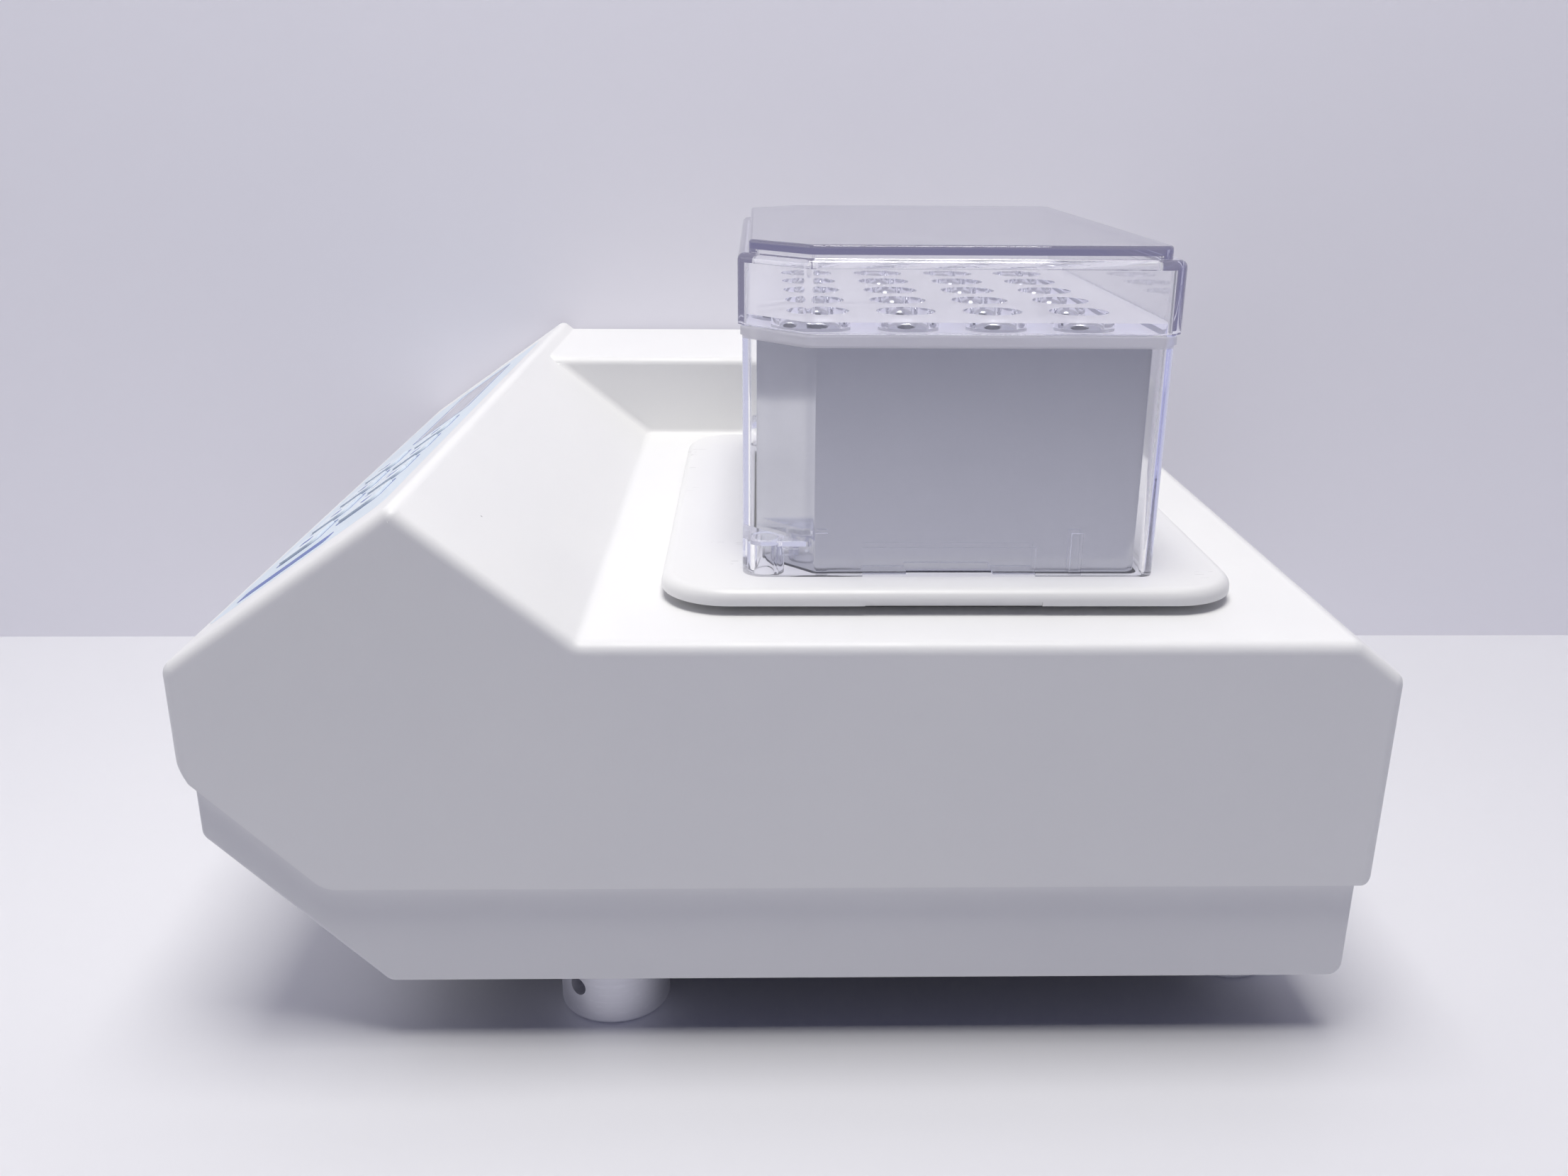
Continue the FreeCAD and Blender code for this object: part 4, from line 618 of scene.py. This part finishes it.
@dataclass(frozen=True)
class SatinMetal(Recipe):
    """Satin metal with grain or tool lines, tone changes and handling marks.

    Attributes:
        colour: colour of the metal.
        shade: colour in the duller clouds.
        roughness: middle roughness.
        pitch: spacing of the tool lines.
        across: axis that the tool lines step along.
        lines: depth of the tool lines.
        grain: number of grains in a metre.
        uneven: change of roughness over the surface.
        wear: strength of the handling marks.
        drilled: corners of the field that is drilled, where the metal stays duller.
    """

    CLOUD = 22.0
    SKIN_SHARE = 0.6
    SCRATCHES = 1100.0
    # Effect of a hairline on the roughness and on the colour, and strength of the latter.
    POLISH = 0.4
    BRIGHT = 1.18
    BRIGHT_SHARE = 0.12
    # Roughness that is added in the drilled field and on faces that look up.
    DULL = 0.32

    colour: Colour
    shade: Colour
    roughness: float = 0.34
    pitch: float = 0.4 * MM
    across: Axis = Axis.Z
    lines: float = 4 * MICRON
    grain: float = 6000.0
    uneven: float = 0.05
    wear: float = 1.0
    drilled: tuple[Vector, Vector] | None = None

    def dress(self, finish: Finish, tree: Tree, effects: Effects) -> None:
        """Mix the clouds, the tool lines, the wear and the dull bores."""
        skin = finish.effect(effects.moulding, Grain=self.grain, Cloud=self.CLOUD)
        way = tuple(1.0 if axis is self.across else 0.0 for axis in Axis)
        tool = finish.effect(effects.turning, Pitch=self.pitch, Across=way)
        marks = finish.effect(effects.hairlines, Density=self.SCRATCHES)["Mask"]
        wear = tree.math("MULTIPLY", marks, self.wear)
        tool_share = 1.0 - self.SKIN_SHARE
        tone = tree.sum((skin["Tone"], self.SKIN_SHARE), (tool["Streak"], tool_share))
        body = tree.mix(tone, self.shade, self.colour)
        bright = tuple(min(1.0, self.BRIGHT * c) for c in self.colour)
        shine = tree.math("MULTIPLY", wear, self.BRIGHT_SHARE)
        finish.feed("Base Color", tree.mix(shine, body, bright))
        finish.feed("Metallic", 1.0)
        gloss = finish.gloss(skin["Gloss"], self.roughness, (-self.uneven, self.uneven))
        polished = tree.math("MULTIPLY", wear, self.POLISH * self.uneven)
        rough = tree.math("SUBTRACT", gloss, polished)
        if self.drilled:
            dull = tree.math("MULTIPLY", self._dull_faces(finish, tree), self.DULL)
            rough = tree.math("ADD", rough, dull)
        finish.feed("Roughness", rough)
        relief = tree.sum((skin["Height"], self.SKIN_SHARE), (tool["Height"], tool_share))
        finish.bump(relief, self.lines)

    def _dull_faces(self, finish: Finish, tree: Tree) -> Socket:
        """Mask the bores and the faces that look up."""
        low, high = self.drilled
        field = tree.math("MULTIPLY", finish.between(Axis.X, low.x, high.x),
                          finish.between(Axis.Y, low.y, high.y))
        return tree.math("MAXIMUM", field, tree.math("GREATER_THAN", finish.upward(), LEVEL))


@dataclass(frozen=True)
class CircuitBoard(Recipe):
    """Green solder mask with copper tracks that show through it.

    Attributes:
        colour: colour of the mask.
        track: colour over the copper.
    """

    GRAIN = 4000.0
    CLOUD = 40.0
    TRACKS = {"Scale": 420.0, "Mortar_Size": 0.12, "offset": 0.37}
    PADS = {"Density": 380.0, "Radius": 0.25, "Share": 0.3}
    RELIEF = 30 * MICRON
    ROUGHNESS = 0.35
    UNEVEN = (-0.07, 0.07)

    colour: Colour
    track: Colour

    def dress(self, finish: Finish, tree: Tree, effects: Effects) -> None:
        """Draw the tracks and the pads under the mask."""
        bricks = tree.add("ShaderNodeTexBrick", Vector=finish.coordinates["Object"], **self.TRACKS)
        skin = finish.effect(effects.moulding, Grain=self.GRAIN, Cloud=self.CLOUD)
        pads = finish.effect(effects.specks, **self.PADS)["Mask"]
        copper = tree.math("MAXIMUM", bricks.outputs["Fac"], pads)
        finish.feed("Base Color", tree.mix(copper, self.colour, self.track))
        finish.feed("Roughness", finish.gloss(skin["Gloss"], self.ROUGHNESS, self.UNEVEN))
        finish.bump(copper, self.RELIEF)


@dataclass(frozen=True)
class DisplayFace(Recipe):
    """Grey display face with faint rows of character cells.

    Attributes:
        colour: colour of the face.
        cell: colour of an idle character cell.
    """

    GRAIN = 3000.0
    CLOUD = 30.0
    DEPTH = 4 * MICRON
    ROUGHNESS = 0.28
    UNEVEN = (-0.06, 0.06)
    CELLS = {"Brick_Width": 3.4 * MM, "Row_Height": 5.78 * MM, "Mortar_Size": 0.544 * MM,
             "Scale": 1.0, "offset": 0.0}

    colour: Colour
    cell: Colour

    def dress(self, finish: Finish, tree: Tree, effects: Effects) -> None:
        """Draw the rows of cells."""
        bricks = tree.add("ShaderNodeTexBrick", Vector=finish.coordinates["Object"], **self.CELLS)
        skin = finish.effect(effects.moulding, Grain=self.GRAIN, Cloud=self.CLOUD)
        finish.feed("Base Color", tree.mix(bricks.outputs["Fac"], self.cell, self.colour))
        finish.feed("Roughness", finish.gloss(skin["Gloss"], self.ROUGHNESS, self.UNEVEN))
        finish.bump(skin["Height"], self.DEPTH)


@dataclass(frozen=True)
class Backdrop(Recipe):
    """Smooth pale board for the floor or the wall, with slow changes of tone.

    Attributes:
        colour: colour of the board.
        shade: colour in its darker clouds.
        roughness: middle roughness.
        glow: light of its own, as from a lit paper backdrop.
        one_sided: whether it is seen through from behind.
    """

    GRAIN = 900.0
    CLOUD = 2.2
    UNEVEN = (-0.01, 0.01)

    colour: Colour
    shade: Colour
    roughness: float
    glow: float = 0.0
    one_sided: bool = False

    def dress(self, finish: Finish, tree: Tree, effects: Effects) -> None:
        """Mix the clouds, and make the back clear where only one side is to show."""
        skin = finish.effect(effects.moulding, Grain=self.GRAIN, Cloud=self.CLOUD)
        finish.feed("Base Color", tree.mix(skin["Tone"], self.shade, self.colour))
        finish.feed("Roughness", finish.gloss(skin["Gloss"], self.roughness, self.UNEVEN))
        finish.feed("Emission Color", self.colour)
        finish.feed("Emission Strength", self.glow)
        if self.one_sided:
            light = tree.add("ShaderNodeLightPath").outputs
            behind = tree.add("ShaderNodeNewGeometry").outputs["Backfacing"]
            hidden = tree.math("MAXIMUM", behind, light["Is Shadow Ray"])
            clear = tree.add("ShaderNodeBsdfTransparent").outputs["BSDF"]
            finish.show(tree.choose(hidden, finish.shader.outputs["BSDF"], clear))


class Wardrobe:
    """Every finish of the heater, named after its slot of the record."""

    # Width of the block's edge that holds no bore.
    BLOCK_EDGE = Vector((8.5 * MM, 6.0 * MM, 0.0))

    def __init__(self) -> None:
        """Build the shared effects and the finish of each material slot."""
        self.effects = Effects()
        finishes = self._plastics() + self._metals()
        self.materials = {finish.name: finish.make(self.effects) for finish in finishes}
        self.ink = PrintedFoil("ink_blue", (0.11, 0.17, 0.46), (0.09, 0.14, 0.40),
                               roughness=0.40).make(self.effects)
        self.chalk = PrintedFoil("ink_white", (0.80, 0.80, 0.80), (0.72, 0.72, 0.72),
                                 roughness=0.44).make(self.effects)

    @staticmethod
    def _plastics() -> list[Recipe]:
        """List the finishes of plastic, film, boards and mats."""
        return [
            MouldedPlastic("casing_white", (0.86, 0.86, 0.855), (0.84, 0.84, 0.845)),
            # The tray's downward faces are darkened as painted shade, to deepen the shadow under the heater.
            MouldedPlastic("tray_white", (0.80, 0.80, 0.81), (0.775, 0.775, 0.79),
                           roughness=0.46, underside_shade=0.25),
            MouldedPlastic("platform_white", (0.85, 0.85, 0.84), (0.83, 0.83, 0.825),
                           roughness=0.34),
            MouldedPlastic("motor_black", (0.055, 0.055, 0.06), (0.04, 0.04, 0.045),
                           roughness=0.45),
            MouldedPlastic("mains_black", (0.035, 0.035, 0.038), (0.026, 0.026, 0.029),
                           roughness=0.38),
            MouldedPlastic("frame_grey", (0.62, 0.61, 0.58), (0.54, 0.53, 0.50),
                           roughness=0.60, grain=2200.0),
            MouldedPlastic("mat_orange", (0.56, 0.18, 0.06), (0.48, 0.14, 0.05),
                           roughness=0.62, grain=1800.0),
            PrintedFoil("foil_blue", (0.72, 0.80, 0.87), (0.68, 0.77, 0.85)),
            PrintedFoil("key_blue", (0.80, 0.87, 0.93), (0.75, 0.84, 0.91), roughness=0.30),
            ClearPlastic("display_clear", (0.70, 0.78, 0.86), density=60.0, roughness=0.08),
            # The rack's plate carries painted sheen, and its rim a painted highlight band.
            ClearPlastic("rack_clear", (0.62, 0.63, 0.93), density=7.0, painted_edge_glow=(0.58, 0.585, 0.73),
                         painted_sheen=0.40, painted_sheen_span=(148.4 * MM, 150.8 * MM),
                         rim_highlight=0.65, rim_highlight_span=(145.7 * MM, 148.2 * MM)),
            ClearPlastic("lid_clear", (0.62, 0.63, 0.93), density=5.0, painted_edge_glow=(0.23, 0.22, 0.31)),
            DisplayFace("display_grey", (0.33, 0.37, 0.40), (0.29, 0.33, 0.36)),
            CircuitBoard("board_green", (0.03, 0.15, 0.07), (0.06, 0.25, 0.12)),
        ]

    def _metals(self) -> list[Recipe]:
        """List the finishes of metal."""
        low, high = (Vector(corner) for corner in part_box("tube_block"))
        drilled = (low + self.BLOCK_EDGE, high - self.BLOCK_EDGE)
        return [
            SatinMetal("block_aluminium", (0.50, 0.505, 0.555), (0.48, 0.485, 0.535),
                       roughness=0.13, pitch=0.6 * MM, lines=0.3 * MICRON, grain=5000.0,
                       uneven=0.02, wear=0.0, drilled=drilled),
            SatinMetal("bare_aluminium", (0.76, 0.76, 0.78), (0.68, 0.68, 0.70),
                       roughness=0.35, pitch=0.8 * MM, across=Axis.X, lines=8 * MICRON),
            SatinMetal("foot_satin", (0.70, 0.70, 0.76), (0.66, 0.66, 0.72),
                       roughness=0.60, pitch=0.5 * MM),
            SatinMetal("plain_steel", (0.58, 0.58, 0.60), (0.50, 0.50, 0.52), roughness=0.36),
            SatinMetal("screw_steel", (0.56, 0.56, 0.57), (0.46, 0.46, 0.48),
                       roughness=0.35, pitch=0.7 * MM),
            SatinMetal("bearing_steel", (0.75, 0.75, 0.77), (0.70, 0.70, 0.72),
                       roughness=0.16, pitch=0.3 * MM),
            SatinMetal("bush_brass", (0.74, 0.56, 0.28), (0.64, 0.46, 0.21), roughness=0.35),
        ]

    def dress(self) -> None:
        """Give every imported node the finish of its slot."""
        for entry in frame["record"]["subparts"]:
            piece = frame["nodes"][entry["node"]]
            material = self.materials[entry["material_slot"]]
            piece.data.materials.clear()
            piece.data.materials.append(material)
            log.info("%s wears %s", entry["node"], material.name)


# Printed marks


class Workbench:
    """Edit-mode helpers for new pieces."""

    CORNER_STEPS = 6
    TIP_STEPS = 2
    # Length cut off a triangle's corner, as a share of its radius.
    TIP_CUT = 0.12

    @staticmethod
    def clear() -> None:
        """Leave nothing selected."""
        bpy.ops.object.select_all(action="DESELECT")

    @staticmethod
    def finish(name: str, place: Matrix, material: bpy.types.Material, body: str,
               slot: str) -> None:
        """Put the active piece in its place and hand it to a body.

        Args:
            name: name of the piece.
            place: where the piece goes, from its own flat frame.
            material: its finish.
            body: body that carries it.
            slot: slot of the record that it belongs to; not used.
        """
        piece = bpy.context.active_object
        piece.name = name
        piece.data.name = name
        piece.matrix_world = place
        bpy.ops.object.transform_apply(location=True, rotation=True, scale=True)
        piece.data.materials.clear()
        piece.data.materials.append(material)
        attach(piece, body)
        log.info("%s rides on %s", name, body)

    @staticmethod
    def thicken(height: float) -> None:
        """Extrude the flat face of the active piece upwards, in edit mode."""
        bpy.ops.mesh.select_all(action="SELECT")
        bpy.ops.mesh.extrude_region_move(TRANSFORM_OT_translate={"value": (0.0, 0.0, height)})
        bpy.ops.mesh.select_all(action="SELECT")
        bpy.ops.mesh.normals_make_consistent(inside=False)

    @classmethod
    def plate(cls, width: float, height: float, corner: float, thick: float,
              line: float = 0.0) -> None:
        """Make a thin rounded plate about the origin, or a frame of one line's width.

        Args:
            width: size along X.
            height: size along Y.
            corner: corner radius.
            thick: thickness along Z.
            line: width of the line of a frame, or 0 for a full plate.
        """
        cls.clear()
        bpy.ops.mesh.primitive_plane_add(size=1.0)
        bpy.context.active_object.scale = (width, height, 1.0)
        bpy.ops.object.transform_apply(location=False, rotation=False, scale=True)
        bpy.ops.object.mode_set(mode="EDIT")
        bpy.ops.mesh.select_all(action="SELECT")
        bpy.ops.mesh.bevel(offset=corner, segments=cls.CORNER_STEPS, affect="VERTICES")
        if line:
            bpy.ops.mesh.select_mode(type="FACE")
            bpy.ops.mesh.select_all(action="SELECT")
            bpy.ops.mesh.inset(thickness=line, depth=0.0)
            bpy.ops.mesh.delete(type="FACE")
        cls.thicken(thick)
        bpy.ops.object.mode_set(mode="OBJECT")

    @classmethod
    def wedge(cls, size: float, turn: float, thick: float) -> None:
        """Make a thin triangle with blunted corners about the origin.

        Args:
            size: radius of the triangle.
            turn: angle of its tip from +Y.
            thick: thickness along Z.
        """
        cls.clear()
        bpy.ops.mesh.primitive_circle_add(vertices=3, radius=size, fill_type="NGON",
                                          rotation=(0.0, 0.0, turn))
        bpy.ops.object.transform_apply(location=False, rotation=True, scale=False)
        bpy.ops.object.mode_set(mode="EDIT")
        bpy.ops.mesh.select_all(action="SELECT")
        bpy.ops.mesh.bevel(offset=size * cls.TIP_CUT, segments=cls.TIP_STEPS, affect="VERTICES")
        cls.thicken(thick)
        bpy.ops.object.mode_set(mode="OBJECT")


@dataclass
class ControlPanel:
    """Printed marks of the sloped panel: key frames, key signs, display frame and a plain bar.

    Attributes:
        wardrobe: finishes of the heater.
        ink: thickness of the print.
        line: width of a printed line.
        margin: gap from a key or the display to the outside of its printed frame.
        key_corner: corner radius of a key's frame.
        sign: radius of a key's arrow.
        stop: side of the stop sign.
        stop_corner: corner radius of the stop sign.
        display_corner: corner radius of the display's frame.
        bar_width: width of the plain bar.
        bar_length: length of the plain bar up the slope.
        bar_corner: corner radius of the plain bar.
        bar_inset: distance of the bar from the foil's end.
    """

    wardrobe: Wardrobe
    ink: float = 0.04 * MM
    line: float = 0.45 * MM
    margin: float = 0.9 * MM
    key_corner: float = 2.8 * MM
    sign: float = 2.0 * MM
    stop: float = 3.0 * MM
    stop_corner: float = 0.2 * MM
    display_corner: float = 2.0 * MM
    bar_width: float = 8.0 * MM
    bar_length: float = 24.0 * MM
    bar_corner: float = 1.5 * MM
    bar_inset: float = 5.5 * MM

    def __post_init__(self) -> None:
        """Find the slope's frame from the way that the keys travel."""
        press = next(j for j in frame["joints"] if j["name"] == "key_1_press")
        self.out = -Vector(press["axis"]).normalized()
        self.up = Vector((0.0, self.out.z, -self.out.y))

    def _span(self, node: str) -> tuple[Vector, Vector]:
        """Measure a node in the slope's frame.

        Args:
            node: name of the node.

        Returns:
            Its lowest and highest values along X, up the slope and out of it.
        """
        points = [v.co for v in frame["nodes"][node].data.vertices]
        rows = [(p.x, self.up.dot(p), self.out.dot(p)) for p in points]
        return Vector(map(min, zip(*rows))), Vector(map(max, zip(*rows)))

    def _place(self, x: float, v: float, n: float) -> Matrix:
        """Place a flat piece on the slope.

        Args:
            x: place along X.
            v: place up the slope.
            n: height of the surface out of the slope.

        Returns:
            The matrix from the flat frame to the slope.
        """
        spot = Vector((x, 0.0, 0.0)) + self.up * v + self.out * n
        turn = Matrix((Vector((1.0, 0.0, 0.0)), self.up, self.out)).transposed()
        return Matrix.Translation(spot) @ turn.to_4x4()

    def build(self) -> None:
        """Make every printed mark."""
        foil_low, foil_high = self._span("keypad_foil")
        signs = [Sign.UP] * 3 + [Sign.START] + [Sign.DOWN] * 3 + [Sign.STOP]
        for number, sign in enumerate(signs, 1):
            low, high = self._span("key_%d" % number)
            self._frame("key_frame_print_%d" % number, low, high, foil_high.z, self.key_corner)
            self._key_sign(number, sign, (low + high) / 2, high.z)
        low, high = self._span("display_window")
        self._frame("display_frame_print", low, high, foil_high.z, self.display_corner)
        Workbench.plate(self.bar_width, self.bar_length, self.bar_corner, self.ink)
        spot = self._place(foil_high.x - self.bar_inset - self.bar_width / 2,
                           foil_low.y + self.bar_inset + self.bar_length / 2, foil_high.z)
        Workbench.finish("panel_bar_print", spot, self.wardrobe.ink, "base", "foil_blue")

    def _frame(self, name: str, low: Vector, high: Vector, surface: float, corner: float) -> None:
        """Print a thin frame round a piece on the foil.

        Args:
            name: name of the print.
            low: lowest values of the piece in the slope's frame.
            high: highest values of the piece in the slope's frame.
            surface: height of the foil out of the slope.
            corner: corner radius of the frame.
        """
        width, height, _ = high - low
        middle = (low + high) / 2
        Workbench.plate(width + 2 * self.margin, height + 2 * self.margin, corner, self.ink,
                        self.line)
        Workbench.finish(name, self._place(middle.x, middle.y, surface), self.wardrobe.ink,
                         "base", "foil_blue")

    def _key_sign(self, number: int, sign: Sign, middle: Vector, surface: float) -> None:
        """Print one sign on the top of a key.

        Args:
            number: number of the key.
            sign: sign to print.
            middle: the key's middle in the slope's frame.
            surface: height of the key's top out of the slope.
        """
        if sign is Sign.STOP:
            Workbench.plate(self.stop, self.stop, self.stop_corner, self.ink)
        else:
            turns = {Sign.UP: 0.0, Sign.DOWN: math.pi, Sign.START: -math.pi / 2}
            Workbench.wedge(self.sign, turns[sign], self.ink)
        Workbench.finish("key_sign_print_%d" % number, self._place(middle.x, middle.y, surface),
                         self.wardrobe.ink, "key_%d" % number, "key_blue")


@dataclass
class MainsSwitch:
    """Printed marks on the two halves of the power rocker.

    Attributes:
        wardrobe: finishes of the heater.
        ink: thickness of the print.
        line: width of a printed line.
        size: height of a mark.
        ring_corner: corner radius of the ring, just short of half its size.
        bar_corner: corner radius of the bar.
        reach: distance of a mark from the rocker's middle.
    """

    wardrobe: Wardrobe
    ink: float = 0.04 * MM
    line: float = 0.7 * MM
    size: float = 4.0 * MM
    ring_corner: float = 1.96 * MM
    bar_corner: float = 0.14 * MM
    reach: float = 4.4 * MM

    def build(self) -> None:
        """Print a ring on the half that is pressed in at rest, and a bar on the other."""
        halves = [self._half(side) for side in (-1, 1)]
        off, on = sorted(halves, key=lambda place: place.translation.y)
        chalk = self.wardrobe.chalk
        Workbench.plate(self.size, self.size, self.ring_corner, self.ink, self.line)
        Workbench.finish("rocker_off_print", off, chalk, "rocker", "mains_black")
        Workbench.plate(self.line, self.size, self.bar_corner, self.ink)
        Workbench.finish("rocker_on_print", on, chalk, "rocker", "mains_black")

    def _half(self, side: int) -> Matrix:
        """Find where a mark lies on one half of the rocker.

        Args:
            side: -1 or 1 along X.

        Returns:
            The matrix from the flat frame to the rocker's face.
        """
        low, high = (Vector(corner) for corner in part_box("power_rocker"))
        middle = (low + high) / 2
        start = Vector((middle.x + side * self.reach, high.y + self.reach, middle.z))
        rocker = frame["nodes"]["power_rocker"]
        _, spot, out, _ = rocker.ray_cast(start, Vector((0.0, -1.0, 0.0)))
        up = Vector((0.0, 0.0, 1.0))
        turn = Matrix((up.cross(out), up, out)).transposed()
        return Matrix.Translation(spot) @ turn.to_4x4()


# Studio


@dataclass(frozen=True)
class Lamp:
    """Soft square light.

    Attributes:
        name: name of the light.
        spot: where it hangs.
        target: point that it looks at.
        size: side of the square.
        power: power in watts.
        colour: colour of its light.
    """

    name: str
    spot: Point
    target: Point
    size: float
    power: float
    colour: Colour

    def hang(self) -> None:
        """Add the light to the scene."""
        data = bpy.data.lights.new(self.name, "AREA")
        data.size = self.size
        data.energy = self.power
        data.color = self.colour
        lamp = bpy.data.objects.new(self.name, data)
        bpy.context.scene.collection.objects.link(lamp)
        lamp.location = self.spot
        way = Vector(self.target) - Vector(self.spot)
        lamp.rotation_euler = way.to_track_quat("-Z", "Y").to_euler()


@dataclass
class Studio:
    """Floor, wall, lights and camera.

    Attributes:
        wardrobe: finishes, for the shared effects.
        floor: finish of the floor.
        wall: finish of the wall.
        wall_x: where the wall stands behind the heater.
        reach: half size of the floor.
        lamps: the lights.
        shade: faint light that fills the room.
        shade_power: strength of that light.
        room: walls that gloss and clear plastic see.
        room_power: brightness of those walls.
        camera_spot: where the camera stands.
        camera_right: the image's right in the part's frame.
        camera_up: the image's up in the part's frame.
        focal_pixels: focal length in pixels of the full image.
        nearest: distance from which the camera sees.
    """

    wardrobe: Wardrobe
    floor: Backdrop = Backdrop("floor_white", (0.80, 0.80, 0.83), (0.785, 0.785, 0.82),
                               roughness=0.40)
    wall: Backdrop = Backdrop("wall_lilac", (0.80, 0.79, 0.85), (0.79, 0.78, 0.84),
                              roughness=0.34, glow=0.12, one_sided=True)
    wall_x: float = -122.5 * MM
    reach: float = 3.0
    lamps: tuple[Lamp, ...] = (
        Lamp("ceiling_light", (0.20, 0.0, 1.10), (0.10, 0.0, 0.05), 0.5, 9.3, (1.0, 0.985, 0.935)),
        Lamp("front_light", (-0.10, -1.20, 0.80), (0.0, 0.0, 0.08), 0.8, 1.8, (1.0, 1.0, 1.0)),
        Lamp("camera_fill", (1.30, 0.30, 0.55), (0.0, 0.0, 0.08), 1.0, 0.3, (0.58, 0.60, 1.0)),
    )
    shade: Colour = (0.50, 0.52, 1.0)
    shade_power: float = 0.13
    room: Colour = (0.84, 0.84, 0.92)
    room_power: float = 0.70
    camera_spot: Point = (0.3626, -0.0060, 0.1884)
    camera_right: Point = (0.0180, 0.9998, 0.0060)
    camera_up: Point = (-0.3288, 0.0002, 0.9444)
    focal_pixels: float = 1908.0
    nearest: float = 10 * MM

    def build(self) -> None:
        """Make the floor, the wall, the lights, the world and the camera."""
        floor = self._board("floor", self.floor, (0.0, 0.0, 0.0), 0.0)
        wall = self._board("wall", self.wall, (self.wall_x, 0.0, self.reach), math.pi / 2)
        for lamp in self.lamps:
            lamp.hang()
        self._fill_room()
        self._stand_camera()

    def _board(self, name: str, finish: Backdrop, spot: Point, tilt: float) -> bpy.types.Object:
        """Set up a large square board.

        Args:
            name: name of the board.
            finish: its finish.
            spot: its middle.
            tilt: its angle about Y from lying flat.

        Returns:
            The board.
        """
        Workbench.clear()
        bpy.ops.mesh.primitive_plane_add(size=2 * self.reach, location=spot,
                                         rotation=(0.0, tilt, 0.0))
        board = bpy.context.active_object
        board.name = name
        board.data.materials.append(finish.make(self.wardrobe.effects))
        return board

    def _fill_room(self) -> None:
        """Fill the room with faint cool light, and let gloss and clear plastic see bright walls."""
        world = bpy.data.worlds.new("room")
        world.use_nodes = True
        world.node_tree.nodes.clear()
        tree = Tree(world.node_tree)
        shade = tree.add("ShaderNodeBackground", Color=self.shade, Strength=self.shade_power)
        room = tree.add("ShaderNodeBackground", Color=self.room, Strength=self.room_power)
        diffuse = tree.add("ShaderNodeLightPath").outputs["Is Diffuse Ray"]
        seen = tree.choose(diffuse, room.outputs["Background"], shade.outputs["Background"])
        tree.add("ShaderNodeOutputWorld", Surface=seen)
        bpy.context.scene.world = world

    def _stand_camera(self) -> None:
        """Stand the camera where the photograph was taken from."""
        data = bpy.data.cameras.new("camera")
        data.sensor_fit = "HORIZONTAL"
        data.sensor_width = SENSOR_WIDTH
        data.lens = self.focal_pixels / IMAGE_WIDTH * SENSOR_WIDTH
        data.clip_start = self.nearest
        camera = bpy.data.objects.new("camera", data)
        bpy.context.scene.collection.objects.link(camera)
        right = Vector(self.camera_right).normalized()
        up = Vector(self.camera_up).normalized()
        turn = Matrix((right, up, right.cross(up))).transposed()
        camera.matrix_world = Matrix.Translation(self.camera_spot) @ turn.to_4x4()
        bpy.context.scene.camera = camera


def main() -> None:
    """Dress the heater and set up the studio."""
    logging.basicConfig(level=logging.INFO, format="%(message)s")
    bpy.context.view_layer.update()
    wardrobe = Wardrobe()
    wardrobe.dress()
    ControlPanel(wardrobe).build()
    MainsSwitch(wardrobe).build()
    Studio(wardrobe).build()
    bpy.context.scene.view_settings.view_transform = "Standard"


if __name__ == "__main__":
    main()
